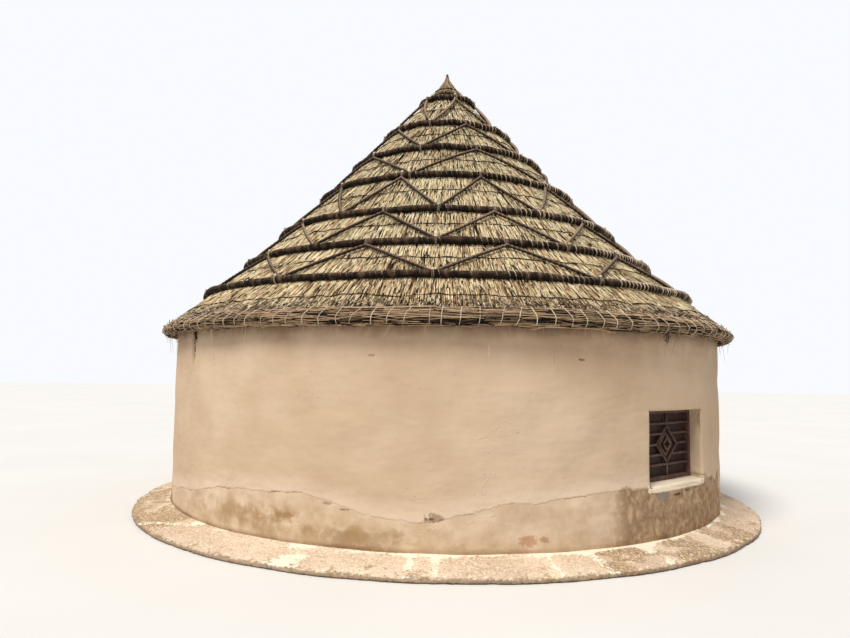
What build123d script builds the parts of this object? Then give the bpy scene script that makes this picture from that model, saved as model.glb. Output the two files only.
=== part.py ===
from build123d import *
import os
from math import atan2, ceil, cos, degrees, hypot, pi, radians, sin, tan

# A round hut with a thick earth wall and a thatched roof that flares towards the eave.
# All lengths are in millimetres. The origin is on the ground at the hut's centre and +Z is up.
# An azimuth is in degrees round the hut, from 0 at -Y towards +X.

# Clearance between two curved faces that lie against each other
seat_gap = 0.3

# Flats in a full turn of the plinth, the floor and the thatch
turn_flats = 120

# Plinth and floor: the plinth reaches this far out from the wall
plinth_reach = 400
plinth_edge_height = 50
plinth_top_height = 115
screed_thickness = 30

# Wall
wall_radius = 3200
wall_thickness = 300
outer_leaf_thickness = 110

# Openings: the middle of each one round the hut
front_window_azimuth = 41.8
door_azimuth = front_window_azimuth + 90
back_window_azimuth = front_window_azimuth + 180

# Windows
window_width = 900
window_bottom = 535
window_top = 1215
sill_edge_height = 22
sill_height = 35
window_setback = 135
window_frame_width = 40
window_frame_depth = 45
window_panel_thickness = 25

# Doorway
doorway_width = 880
door_frame_width = 60
door_frame_depth = 140
door_setback = 60
threshold_height = 30

# Wall plate under the rafter feet, set back from the wall's inner face
plate_setback = 40
plate_width = 120
plate_height = 60

# Rafters, laths and the hub that the long rafters meet at
rafter_pitch = 46.0
rafter_radius = 40
rafter_sides = 8
rafter_count = 24
short_rafter_top_radius = 1300
lath_size = 30
lath_radii = (2600, 2000, 1400, 800)
hub_apothem = 180
hub_height = 200

# Thatch: it hangs over the wall a little and steepens in three stretches from the eave to the crown
eave_overhang = 51
eave_height = 2040
lower_slope = 40.0
middle_slope = 45.3
upper_slope = 48.1
lower_break_radius = 2520
upper_break_radius = 1620
waist_thickness = 144
crown_radius = 160

# Eave roll of bundled grass
eave_roll_apothem = 80
eave_roll_drop = 27
eave_roll_sides = 72

# Binding rings of grass rope that lie on the thatch, from the eave upwards, each at a share of the
# way out from the top ring to the lowest
top_ring_radius = 313
lowest_ring_inset = 343
ring_shares = (1, 0.83, 0.675, 0.485, 0.333, 0.18, 0)
ring_apothem = 35
ring_sides = 48

# Zigzag rope between each pair of rings, in steps of a few degrees. The rope's flat rolls a
# little as it goes round the cone, which takes a share of its thickness for each radian.
rope_apothem = 13
rope_section_sides = 6
rope_step = 7.5
rope_roll = 0.15
lower_zigzags = 12
upper_zigzags = 6
lower_courses = 3
lower_first_azimuth = 13.0
upper_first_azimuth = 16.0

# Straw tuft on the crown, whose sides curve in through waists given as a height and a radius,
# and the cord bound round its foot
tuft_height = 303
tuft_waists = ((55, 105), (135, 62), (225, 28))
tuft_tip_radius = 9
tuft_sides = 16
tuft_ledge = 30
tuft_cord_apothem = 12
tuft_cord_sides = 24

# Worked out from the sizes above
wall_inner_radius = wall_radius - wall_thickness
outer_leaf_radius = wall_radius - outer_leaf_thickness
plinth_radius = wall_radius + plinth_reach
plate_inner_radius = wall_inner_radius + plate_setback
eave_radius = wall_radius + eave_overhang
lowest_ring_radius = eave_radius - lowest_ring_inset
ring_span = lowest_ring_radius - top_ring_radius
ring_seat_radii = [top_ring_radius + share * ring_span for share in ring_shares]
lath_space = lath_size * (sin(radians(rafter_pitch)) + cos(radians(rafter_pitch))) + 2 * seat_gap
rafter_spacing = 360 / rafter_count


def around(azimuth, radius, height):
    """A point given by its azimuth, its distance from the hut's axis and its height."""
    angle = radians(azimuth)
    return Vector(radius * sin(angle), -radius * cos(angle), height)


def revolved(outline, start=0, span=360):
    """Turn an outline of (radius, height) points about the hut's axis, from one azimuth over a span."""
    profile = make_face(Plane.XZ * Polyline(*[(radius, height) for radius, height in outline], close=True))
    return revolve(Rot(0, 0, start - 90) * profile, Axis.Z, span)


def turned_in_flats(outline, side_count):
    """Turn an outline of (radius, height) points that starts and ends on the axis, in equal flats."""
    turn = 360 / side_count
    flats = []
    for (start_radius, start_height), (end_radius, end_height) in zip(outline, outline[1:]):
        for side in range(side_count):
            corners = [around(turn * index, start_radius, start_height) for index in (side, side + 1)]
            corners += [around(turn * index, end_radius, end_height) for index in (side + 1, side)]
            if start_radius == 0:
                corners.pop(0)
            if end_radius == 0:
                corners.pop()
            flats.append(Face(Wire.make_polygon(corners)))
    return Solid(Shell(flats))


def slope_at(radius):
    """The slope of the thatch, in degrees, at a distance from the hut's axis."""
    if radius > lower_break_radius:
        return lower_slope
    return middle_slope if radius > upper_break_radius else upper_slope


def thatch_top(radius):
    """The height of the thatch's outer surface at a distance from the hut's axis."""
    height = eave_height
    stretches = (
        (eave_radius, lower_break_radius, lower_slope),
        (lower_break_radius, upper_break_radius, middle_slope),
        (upper_break_radius, 0, upper_slope),
    )
    for outer, inner, slope in stretches:
        height += max(0, outer - max(radius, inner)) * tan(radians(slope))
    return height


def off_thatch(radius, offset):
    """The radius and height of a point at a distance above the thatch, square to its surface."""
    slope = radians(slope_at(radius))
    return radius + offset * sin(slope), thatch_top(radius) + offset * cos(slope)


def thatch_underside(radius):
    """The height of the straight underside that the laths carry."""
    pitch = radians(rafter_pitch)
    waist_radius = upper_break_radius - waist_thickness * sin(pitch)
    waist_height = thatch_top(upper_break_radius) - waist_thickness * cos(pitch)
    return waist_height + (waist_radius - radius) * tan(pitch)


def eave_face_radius(depth):
    """The radius of a point on the thatch's cut end, a depth below its outer corner."""
    return eave_radius - depth * sin(radians(lower_slope))


def eave_face_height(depth):
    """The height of a point on the thatch's cut end, a depth below its outer corner."""
    return eave_height - depth * cos(radians(lower_slope))


def eave_face_depth():
    """How deep the cut end is where it meets the thatch's underside."""
    slope = radians(lower_slope)
    rise_above_underside = eave_height - thatch_underside(eave_radius)
    return rise_above_underside / (cos(slope) + sin(slope) * tan(radians(rafter_pitch)))


def below_eave_face(radius, clearance):
    """The height at which something at this radius stays a clearance below the thatch's cut end."""
    slope = radians(lower_slope)
    return eave_height - (eave_radius - radius) / tan(slope) - clearance / sin(slope)


def swept_bar(path, section_plane, apothem, side_count):
    """A bar of few sides swept along a run of straight lengths, with mitred corners."""
    section = section_plane * RegularPolygon(
        apothem, side_count, major_radius=False, rotation=180 / side_count
    )
    return sweep(section, path=path, transition=Transition.RIGHT)


def bundle_ring(radius, height, lean, apothem, side_count, section_sides=6):
    """A ring of straight lengths round the hut whose mid-lengths lie at the given radius.

    One flat of its section faces what it lies on, and lean is that flat's slope.
    """
    turn = 360 / side_count
    corner_radius = radius / cos(radians(turn / 2))
    corners = [around(turn * (index - 0.5), corner_radius, height) for index in range(side_count)]
    outward = around(0, sin(radians(lean)), cos(radians(lean)))
    section_plane = Plane(origin=corners[0], x_dir=outward, z_dir=corners[1] - corners[0])
    return swept_bar(Polyline(*corners, close=True), section_plane, apothem, section_sides)


def export(node, *solids):
    """Write one named sub-part."""
    shape = solids[0] if len(solids) == 1 else Compound(children=list(solids))
    export_step(shape, f"parts/{node}.step")


def plinth():
    """The cement plinth with an apron that falls away from the wall."""
    return turned_in_flats(
        [
            (0, 0),
            (plinth_radius, 0),
            (plinth_radius, plinth_edge_height),
            (wall_radius, plinth_top_height),
            (0, plinth_top_height),
        ],
        turn_flats,
    )


def floor_screed():
    """The floor inside the wall."""
    top = plinth_top_height + screed_thickness
    radius = wall_inner_radius - seat_gap
    outline = [(0, plinth_top_height), (radius, plinth_top_height), (radius, top), (0, top)]
    return turned_in_flats(outline, turn_flats)


def plate_top_height():
    """The height of the wall plate's top, where the rafters' undersides reach its inner edge."""
    rafter_depth = (lath_space + 2 * rafter_radius) / cos(radians(rafter_pitch))
    return thatch_underside(plate_inner_radius) - rafter_depth


def plate_seat_height():
    """The height of the wall's inner ledge that the plate lies on."""
    return plate_top_height() - plate_height


def under_thatch(radius):
    """The height at which something at this radius stays a clearance below the thatch."""
    below_underside = thatch_underside(radius) - seat_gap / cos(radians(rafter_pitch))
    return max(below_eave_face(radius, seat_gap), below_underside)


def leaf_top():
    """The outer leaf's top, which follows the thatch above it, as points from the outside inwards."""
    thatch_corner = eave_face_radius(eave_face_depth())
    corner = min(max(thatch_corner, outer_leaf_radius), wall_radius)
    radii = sorted({wall_radius, corner, outer_leaf_radius}, reverse=True)
    return [(radius, under_thatch(radius)) for radius in radii]


def wall_outline():
    """The wall's section: a ledge for the plate inside an outer leaf that rises to the thatch."""
    return [
        (wall_inner_radius, plinth_top_height),
        (wall_radius, plinth_top_height),
        *leaf_top(),
        (outer_leaf_radius, plate_seat_height()),
        (wall_inner_radius, plate_seat_height()),
    ]


def leaf_outline():
    """The section of the outer leaf alone, from the height of the plate's ledge."""
    return [(outer_leaf_radius, plate_seat_height()), (wall_radius, plate_seat_height()), *leaf_top()]


def opening_slot(azimuth, width, bottom, top):
    """A block that fills an opening from side to side, well past both faces of the wall."""
    reach = 3 * wall_thickness
    middle_radius = wall_radius - wall_thickness / 2
    block = Box(width, reach, top - bottom)
    return Rot(0, 0, azimuth) * Pos(0, -middle_radius, (top + bottom) / 2) * block


def wall_stretch(start, end):
    """A stretch of wall between two azimuths, cut square at the openings that it meets."""
    stretch = revolved(wall_outline(), start, end - start)
    openings = (
        (front_window_azimuth, window_width),
        (door_azimuth, doorway_width),
        (back_window_azimuth, window_width),
    )
    for azimuth, width in openings:
        stretch -= opening_slot(azimuth, width, 0, eave_height)
    return stretch


def wall_sector(azimuth, width, outline):
    """An outline turned far enough to both sides of an azimuth to cover an opening's width."""
    half_angle = degrees(atan2(width, wall_inner_radius))
    return revolved(outline, azimuth - half_angle, 2 * half_angle)


def wall_infill(azimuth, width, outline, bottom, top):
    """The wall below or above an opening, between the opening's two sides."""
    return wall_sector(azimuth, width, outline) & opening_slot(azimuth, width, bottom, top)


def wall_under_window(azimuth):
    """The wall from the plinth to the window's sill."""
    return wall_infill(azimuth, window_width, wall_outline(), plinth_top_height, window_bottom)


def wall_over_window(azimuth):
    """The wall from the window's head to the eave."""
    return wall_infill(azimuth, window_width, wall_outline(), window_top, eave_height)


def wall_over_door():
    """The wall's outer leaf over the door frame."""
    return wall_infill(
        door_azimuth, doorway_width, leaf_outline(), plate_seat_height(), eave_height
    )


def window_sill(azimuth):
    """The plastered sill, level under the window's frame and sloping outwards in front of it."""
    outside = -wall_radius - wall_thickness
    inside = -wall_inner_radius + wall_thickness
    side = Polyline(
        (outside, window_bottom),
        (inside, window_bottom),
        (inside, window_bottom + sill_height),
        (-wall_radius + window_setback, window_bottom + sill_height),
        (-wall_radius, window_bottom + sill_edge_height),
        (outside, window_bottom + sill_edge_height),
        close=True,
    )
    slab = extrude(make_face(Plane.YZ * side), window_width / 2, both=True)
    return wall_sector(azimuth, window_width, wall_outline()) & (Rot(0, 0, azimuth) * slab)


def window_board(azimuth, setback, depth):
    """A board as large as the window's opening above the sill, set back from the wall's face."""
    bottom = window_bottom + sill_height
    height = window_top - bottom
    board = Box(window_width, depth, height)
    middle = -(wall_radius - setback - depth / 2)
    return Rot(0, 0, azimuth) * Pos(0, middle, bottom + height / 2) * board


def window_frame(azimuth):
    """The window's frame, square in section round its opening."""
    bottom = window_bottom + sill_height
    height = window_top - bottom
    clear = Box(
        window_width - 2 * window_frame_width,
        3 * window_frame_depth,
        height - 2 * window_frame_width,
    )
    middle = -(wall_radius - window_setback - window_frame_depth / 2)
    opening = Rot(0, 0, azimuth) * Pos(0, middle, bottom + height / 2) * clear
    return window_board(azimuth, window_setback, window_frame_depth) - opening


def window_panel(azimuth):
    """The dark panel behind the window's frame."""
    return window_board(azimuth, window_setback + window_frame_depth, window_panel_thickness)


def door_threshold():
    """The raised threshold across the doorway."""
    top = plinth_top_height + threshold_height
    return wall_infill(door_azimuth, doorway_width, wall_outline(), plinth_top_height, top)


def door_frame():
    """Two jambs and a head, as one frame that stands on the threshold."""
    foot = plinth_top_height + threshold_height
    head = plate_seat_height()
    outer = doorway_width / 2
    inner = outer - door_frame_width
    face = make_face(
        Plane.XZ
        * Polyline(
            (-outer, foot),
            (-outer, head),
            (outer, head),
            (outer, foot),
            (inner, foot),
            (inner, head - door_frame_width),
            (-inner, head - door_frame_width),
            (-inner, foot),
            close=True,
        )
    )
    middle = -(wall_radius - door_setback - door_frame_depth / 2)
    return Rot(0, 0, door_azimuth) * Pos(0, middle, 0) * extrude(face, door_frame_depth / 2, both=True)


def straight_sided_ring(corner_radius, width, bottom, height):
    """A level ring of straight lengths with a corner over each rafter."""
    outer = RegularPolygon(corner_radius, rafter_count, rotation=90)
    inner = RegularPolygon(corner_radius - width, rafter_count, rotation=90)
    return Pos(0, 0, bottom) * extrude(outer - inner, height)


def wall_plate():
    """The plate that the rafter feet stand on."""
    return straight_sided_ring(
        plate_inner_radius + plate_width, plate_width, plate_seat_height(), plate_height
    )


def laths():
    """The laths that lie across the rafters and carry the thatch."""
    return [
        straight_sided_ring(
            radius, lath_size, thatch_underside(radius) - seat_gap - lath_size, lath_size
        )
        for radius in lath_radii
    ]


def rafter(azimuth, top_radius):
    """A pole of few sides up the slope, cut level on the plate and plumb at its upper end."""
    pitch = radians(rafter_pitch)
    depth = lath_space + rafter_radius
    centre_height = thatch_underside(wall_radius) - depth / cos(pitch)
    run = wall_radius / cos(pitch)
    along = (0, cos(pitch), sin(pitch))
    foot = Plane(origin=(0, -wall_radius, centre_height), x_dir=(1, 0, 0), z_dir=along)
    pole = extrude(foot * RegularPolygon(rafter_radius, rafter_sides), run)
    block = 4 * rafter_radius + wall_radius
    level_cut = Pos(0, -block / 2, plate_top_height() - block / 2) * Box(block, block, block)
    plumb_cut = Pos(0, block / 2 - top_radius, centre_height) * Box(block, block, 4 * block)
    return Rot(0, 0, azimuth) * (pole - level_cut - plumb_cut)


def long_rafters():
    """The rafters that meet at the hub."""
    return [rafter(index * rafter_spacing, hub_apothem) for index in range(0, rafter_count, 2)]


def short_rafters():
    """The rafters between them, which end above a lath."""
    return [
        rafter(index * rafter_spacing, short_rafter_top_radius) for index in range(1, rafter_count, 2)
    ]


def roof_hub():
    """The block that the long rafters lean against, with one flat for each."""
    side_count = rafter_count // 2
    turn = 360 / side_count
    corner_radius = hub_apothem / cos(radians(turn / 2))
    top = thatch_underside(corner_radius) - lath_size
    block = RegularPolygon(corner_radius, side_count, rotation=90 + turn / 2)
    return Pos(0, 0, top - hub_height) * extrude(block, hub_height)


def thatch():
    """The thatch, from the cut end at the eave to the flat that the tuft stands on."""
    depth = eave_face_depth()
    return turned_in_flats(
        [
            (0, thatch_underside(0)),
            (eave_face_radius(depth), eave_face_height(depth)),
            (eave_radius, eave_height),
            (lower_break_radius, thatch_top(lower_break_radius)),
            (upper_break_radius, thatch_top(upper_break_radius)),
            (crown_radius, thatch_top(crown_radius)),
            (0, thatch_top(crown_radius)),
        ],
        turn_flats,
    )


def eave_roll():
    """The roll of grass bound against the thatch's cut end."""
    offset = eave_roll_apothem + seat_gap
    slope = radians(lower_slope)
    radius = eave_face_radius(eave_roll_drop) + offset * cos(slope)
    height = eave_face_height(eave_roll_drop) - offset * sin(slope)
    return bundle_ring(
        radius, height, lower_slope + 90, eave_roll_apothem, eave_roll_sides, section_sides=8
    )


def binding_ring(seat_radius):
    """One ring of bundled grass that holds the thatch down."""
    radius, height = off_thatch(seat_radius, ring_apothem + seat_gap)
    return bundle_ring(radius, height, slope_at(seat_radius), ring_apothem, ring_sides)


def zigzag_rope(outer_seat, inner_seat, zigzags, first_azimuth):
    """The rope between two rings, in lengths that each run up from a lower turn and down to the next.

    It follows the thatch in straight steps, turns short of each ring by as much as its mitred
    corner needs, and one length ends a hair's breadth from the next under the lower knots.
    """
    leg_turn = 180 / zigzags
    steps = ceil(leg_turn / rope_step)
    step_turn = leg_turn / steps
    slope = radians(slope_at((outer_seat + inner_seat) / 2))
    dip = outer_seat * (1 - cos(radians(step_turn / 2))) * sin(slope)
    half_diagonal = rope_apothem / cos(pi / rope_section_sides)
    roll = rope_apothem * rope_roll * radians(leg_turn)
    offset = rope_apothem + roll + dip + seat_gap
    rise = (outer_seat - inner_seat) / cos(slope)
    run = radians(leg_turn) * inner_seat
    corner_reach = half_diagonal * hypot(run, rise) / min(run, rise)
    ring_reach = ring_apothem / cos(pi / 6) + seat_gap
    inset = (corner_reach + ring_reach) * cos(slope)
    low = outer_seat - inset
    high = inner_seat + inset
    points = []
    for step in range(-steps - 1, steps + 2):
        radius = high + (low - high) * abs(step) / steps
        points.append(around(step * step_turn, *off_thatch(radius, offset)))
    lean = around(-leg_turn - step_turn / 2, sin(slope), cos(slope))
    section_plane = Plane(origin=points[0], x_dir=lean, z_dir=points[1] - points[0])
    bar = swept_bar(Polyline(*points), section_plane, rope_apothem, rope_section_sides)
    joint_turn = degrees(seat_gap / low)
    roof_height = thatch_top(0)
    box = [(0, 0), (eave_radius, 0), (eave_radius, roof_height), (0, roof_height)]
    length = bar & revolved(box, joint_turn / 2 - leg_turn, 2 * leg_turn - joint_turn)
    return [Rot(0, 0, first_azimuth + 2 * leg_turn * index) * length for index in range(zigzags)]


def apex_tuft():
    """The pointed straw tuft that stands on the crown, with flats between its waists."""
    foot = thatch_top(crown_radius)
    return turned_in_flats(
        [
            (0, foot),
            (crown_radius - tuft_ledge, foot),
            *[(radius, foot + height) for height, radius in tuft_waists],
            (tuft_tip_radius, foot + tuft_height),
            (0, foot + tuft_height),
        ],
        tuft_sides,
    )


def tuft_cord():
    """The cord bound round the tuft's foot, on the crown's ledge."""
    foot = thatch_top(crown_radius)
    radius = crown_radius - tuft_ledge + seat_gap + tuft_cord_apothem
    return bundle_ring(radius, foot + seat_gap + tuft_cord_apothem, 0, tuft_cord_apothem, tuft_cord_sides)


def write_wall():
    """The wall in stretches between the openings, and the wall below and above each opening."""
    third = (360 - back_window_azimuth + front_window_azimuth) / 3
    first_joint = back_window_azimuth + third
    second_joint = first_joint + third
    export("wall_right", wall_stretch(front_window_azimuth, door_azimuth))
    export("wall_back", wall_stretch(door_azimuth, back_window_azimuth))
    export("wall_left_back", wall_stretch(back_window_azimuth, first_joint))
    export("wall_left_front", wall_stretch(first_joint, second_joint))
    export("wall_front", wall_stretch(second_joint, front_window_azimuth + 360))
    export("wall_over_door", wall_over_door())


def write_window(name, azimuth):
    """One window with the wall that is under and over it."""
    export(f"wall_under_{name}", wall_under_window(azimuth))
    export(f"wall_over_{name}", wall_over_window(azimuth))
    export(f"{name}_sill", window_sill(azimuth))
    export(f"{name}_frame", window_frame(azimuth))
    export(f"{name}_panel", window_panel(azimuth))


def write_bindings():
    """The binding rings and the zigzag rope in each course between them."""
    for index, seat_radius in enumerate(ring_seat_radii):
        export(f"binding_ring_{index + 1}", binding_ring(seat_radius))
    for index, (outer_seat, inner_seat) in enumerate(zip(ring_seat_radii, ring_seat_radii[1:])):
        lower = index < lower_courses
        rope = zigzag_rope(
            outer_seat,
            inner_seat,
            lower_zigzags if lower else upper_zigzags,
            lower_first_azimuth if lower else upper_first_azimuth,
        )
        export(f"zigzag_rope_{index + 1}", *rope)


def main():
    """Build every sub-part and write it."""
    os.makedirs("parts", exist_ok=True)
    export("plinth", plinth())
    export("floor_screed", floor_screed())
    write_wall()
    write_window("front_window", front_window_azimuth)
    write_window("back_window", back_window_azimuth)
    export("door_threshold", door_threshold())
    export("door_frame", door_frame())
    export("wall_plate", wall_plate())
    export("long_rafters", *long_rafters())
    export("short_rafters", *short_rafters())
    export("laths", *laths())
    export("roof_hub", roof_hub())
    export("thatch", thatch())
    export("eave_roll", eave_roll())
    write_bindings()
    export("apex_tuft", apex_tuft())
    export("tuft_cord", tuft_cord())


main()
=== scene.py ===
"""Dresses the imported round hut: mud plaster, reed thatch, grass bindings, timber and a studio.

Lengths are in metres in the row frame, with the origin on the ground at the hut's centre. An azimuth
is in degrees round the hut, from 0 at -Y towards +X. A slope is in degrees above level.
"""

import logging
from collections.abc import Callable
from dataclasses import dataclass
from enum import Enum
from functools import partial

import bpy
import numpy as np
from mathutils import Matrix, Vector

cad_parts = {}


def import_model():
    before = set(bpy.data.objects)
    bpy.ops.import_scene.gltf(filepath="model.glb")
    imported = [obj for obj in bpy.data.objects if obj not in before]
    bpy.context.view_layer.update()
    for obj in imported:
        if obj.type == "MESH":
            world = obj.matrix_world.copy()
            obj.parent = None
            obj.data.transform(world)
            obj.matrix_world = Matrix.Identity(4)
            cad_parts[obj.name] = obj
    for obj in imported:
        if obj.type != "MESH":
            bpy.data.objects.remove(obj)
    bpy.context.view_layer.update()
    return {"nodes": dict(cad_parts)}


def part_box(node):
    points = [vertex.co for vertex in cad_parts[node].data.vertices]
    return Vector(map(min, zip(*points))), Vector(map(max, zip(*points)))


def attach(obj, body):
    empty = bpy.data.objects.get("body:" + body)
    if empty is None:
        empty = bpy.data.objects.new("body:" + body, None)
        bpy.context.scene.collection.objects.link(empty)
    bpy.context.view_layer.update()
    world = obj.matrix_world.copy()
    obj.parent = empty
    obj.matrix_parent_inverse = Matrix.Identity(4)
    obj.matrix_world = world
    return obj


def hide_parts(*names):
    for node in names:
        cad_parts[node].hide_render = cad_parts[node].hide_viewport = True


LOG = logging.getLogger("hut")
SEED = 20261127
Array = np.ndarray
Pairs = tuple[tuple[float, float], ...]
Rows = tuple[tuple[float, ...], ...]


class Slot(Enum):
    """The record's material slots."""

    CEMENT = "cement"
    PLASTER = "plaster"
    DARK_TIMBER = "dark_timber"
    THATCH = "thatch"
    GRASS_ROLL = "grass_roll"
    GRASS_ROPE = "grass_rope"
    STRAW = "straw"


@dataclass(frozen=True)
class HutSizes:
    """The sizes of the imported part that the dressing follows."""

    plinth_radius: float = 3.600
    plinth_edge_height: float = 0.050
    plinth_top_height: float = 0.115
    wall_radius: float = 3.200
    wall_top_height: float = 1.976
    window_azimuths: tuple[float, float] = (41.8, 221.8)
    window_width: float = 0.900
    window_top: float = 1.215
    window_setback: float = 0.135
    window_frame_width: float = 0.040
    sill_front_height: float = 0.557
    sill_back_height: float = 0.570
    door_azimuth: float = 131.8
    doorway_width: float = 0.880
    door_setback: float = 0.060
    door_head_height: float = 1.7516
    eave_radius: float = 3.251
    eave_height: float = 2.040
    slopes: tuple[float, float, float] = (40.0, 45.3, 48.1)
    lower_break_radius: float = 2.520
    upper_break_radius: float = 1.620
    underside_pitch: float = 46.0
    waist_thickness: float = 0.144
    crown_radius: float = 0.160
    roll_radius: float = 0.080
    ring_radius: float = 0.035
    rope_radius: float = 0.013
    ring_seat_radii: tuple[float, ...] = (2.908, 2.4669, 2.0646, 1.5716, 1.1771, 0.7801, 0.313)
    zigzags: tuple[int, ...] = (12, 12, 12, 6, 6, 6)
    zigzag_starts: tuple[float, ...] = (13.0, 13.0, 13.0, 16.0, 16.0, 16.0)


SIZES = HutSizes()


def around(azimuth: Array, radius: Array, height: Array) -> Array:
    """Points with x, y and z along a last axis: (radius × sin azimuth, -radius × cos azimuth, height)."""
    turn, radius, height = np.broadcast_arrays(np.radians(azimuth), radius, height)
    return np.stack([radius * np.sin(turn), -radius * np.cos(turn), height], axis=-1)


def all_round(count: int) -> Array:
    """So many azimuths, evenly round the hut."""
    return np.linspace(0, 360, count, endpoint=False)


def apart(azimuth: Array, place: float) -> Array:
    """How far round the hut an azimuth is from a place, from -180 to 180 degrees."""
    return (azimuth - place + 180) % 360 - 180


def unit(vectors: Array) -> Array:
    """The same vectors with a length of 1."""
    return vectors / np.maximum(np.linalg.norm(vectors, axis=-1, keepdims=True), 1e-12)


def smooth_step(value: Array, low: float, high: float) -> Array:
    """A smooth rise, share² × (3 - 2 × share), from 0 at low to 1 at high, which may be less than low."""
    share = np.clip((value - low) / (high - low), 0, 1)
    return share * share * (3 - 2 * share)


def bell(value: Array, middle: float, reach: float) -> Array:
    """A smooth hump: e to the power of minus the square of (value - middle) / reach."""
    return np.exp(-(((value - middle) / reach) ** 2))


@dataclass
class Ripples:
    """Smooth uneven relief: a sum of sine waves with whole waves round the hut, so it has no seam.

    The seed makes it its own. A wave has at most so many waves round the hut and up a metre.
    """

    seed: int
    most_round: int
    most_up: float = 0.0
    count: int = 28

    def __post_init__(self) -> None:
        """Choose the waves."""
        rng = np.random.default_rng(SEED + self.seed)
        self.round_waves = rng.integers(1, self.most_round + 1, self.count)
        self.up_waves = 2 * np.pi * rng.uniform(-self.most_up, self.most_up, self.count)
        self.phases = rng.uniform(0, 2 * np.pi, self.count)

    def __call__(self, azimuth: Array, height: Array = 0.0) -> Array:
        """Add up the waves: sin(waves round × azimuth + waves up × height + phase).

        Args:
            azimuth: degrees round the hut.
            height: metres up.

        Returns:
            The relief, mostly between -2 and 2.
        """
        turn = np.radians(azimuth)
        total = np.zeros(np.broadcast(turn, height).shape)
        for round_wave, up_wave, phase in zip(self.round_waves, self.up_waves, self.phases):
            total += np.sin(round_wave * turn + up_wave * height + phase)
        return np.sqrt(2 / self.count) * total


@dataclass
class Thatch:
    """The outer surface of the thatch, in three stretches that steepen towards the crown."""

    sizes: HutSizes

    def __post_init__(self) -> None:
        """Work out the height at each break from the eave upwards."""
        sizes = self.sizes
        radii = [sizes.eave_radius, sizes.lower_break_radius, sizes.upper_break_radius, 0.0]
        heights = [sizes.eave_height]
        for outer, inner, slope in zip(radii, radii[1:], sizes.slopes):
            heights.append(heights[-1] + (outer - inner) * np.tan(np.radians(slope)))
        self.radii = np.array(radii[::-1])
        self.heights = np.array(heights[::-1])

    def height(self, radius: Array) -> Array:
        """The surface's height at a distance from the hut's axis. It runs straight on past the eave."""
        past_eave = np.maximum(radius - self.sizes.eave_radius, 0)
        return np.interp(radius, self.radii, self.heights) - past_eave * np.tan(self.slope(radius))

    def slope(self, radius: Array) -> Array:
        """The surface's slope in radians at a distance from the hut's axis."""
        breaks = (self.sizes.upper_break_radius, self.sizes.lower_break_radius)
        return np.radians(np.array(self.sizes.slopes)[2 - np.searchsorted(breaks, radius)])

    def place(self, azimuth: Array, radius: Array, offset: Array) -> Array:
        """Points on the thatch at a radius, moved by the offset along the surface's outward direction."""
        slope = self.slope(radius)
        return around(azimuth, radius + offset * np.sin(slope), self.height(radius) + offset * np.cos(slope))

    def outward(self, azimuth: Array, radius: Array) -> Array:
        """The directions square to the surface."""
        return around(azimuth, np.sin(self.slope(radius)), np.cos(self.slope(radius)))

    def underside(self, radius: Array) -> Array:
        """The height of the straight underside, which is nearest to the outside at the waist.

        Args:
            radius: the distance from the hut's axis.

        Returns:
            The height above the ground.
        """
        pitch = np.radians(self.sizes.underside_pitch)
        waist = self.sizes.upper_break_radius
        thick = self.sizes.waist_thickness
        waist_height = self.height(waist) - thick * np.cos(pitch)
        return waist_height + (waist - thick * np.sin(pitch) - radius) * np.tan(pitch)

    def cut_end(self) -> tuple[float, float]:
        """The lower corner of the cut end, which runs square to the slope down to the underside.

        Returns:
            The corner's radius and height.
        """
        slope = np.radians(self.sizes.slopes[0])
        pitch = np.radians(self.sizes.underside_pitch)
        rise = self.sizes.eave_height - self.underside(self.sizes.eave_radius)
        depth = rise / (np.cos(slope) + np.sin(slope) * np.tan(pitch))
        return (
            float(self.sizes.eave_radius - depth * np.sin(slope)),
            float(self.sizes.eave_height - depth * np.cos(slope)),
        )


THATCH = Thatch(SIZES)


Socket = bpy.types.NodeSocket
Material = bpy.types.Material
Rgb = tuple[int, int, int]
Stop = tuple[float, Rgb]


def colour(seen: Rgb) -> tuple[float, ...]:
    """A colour of 0 to 255, as a screen shows it, turned into the shader's linear light of 0 to 1."""
    shares = np.array(seen) / 255
    return (*np.where(shares < 0.04045, shares / 12.92, ((shares + 0.055) / 1.055) ** 2.4).tolist(), 1.0)


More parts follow.
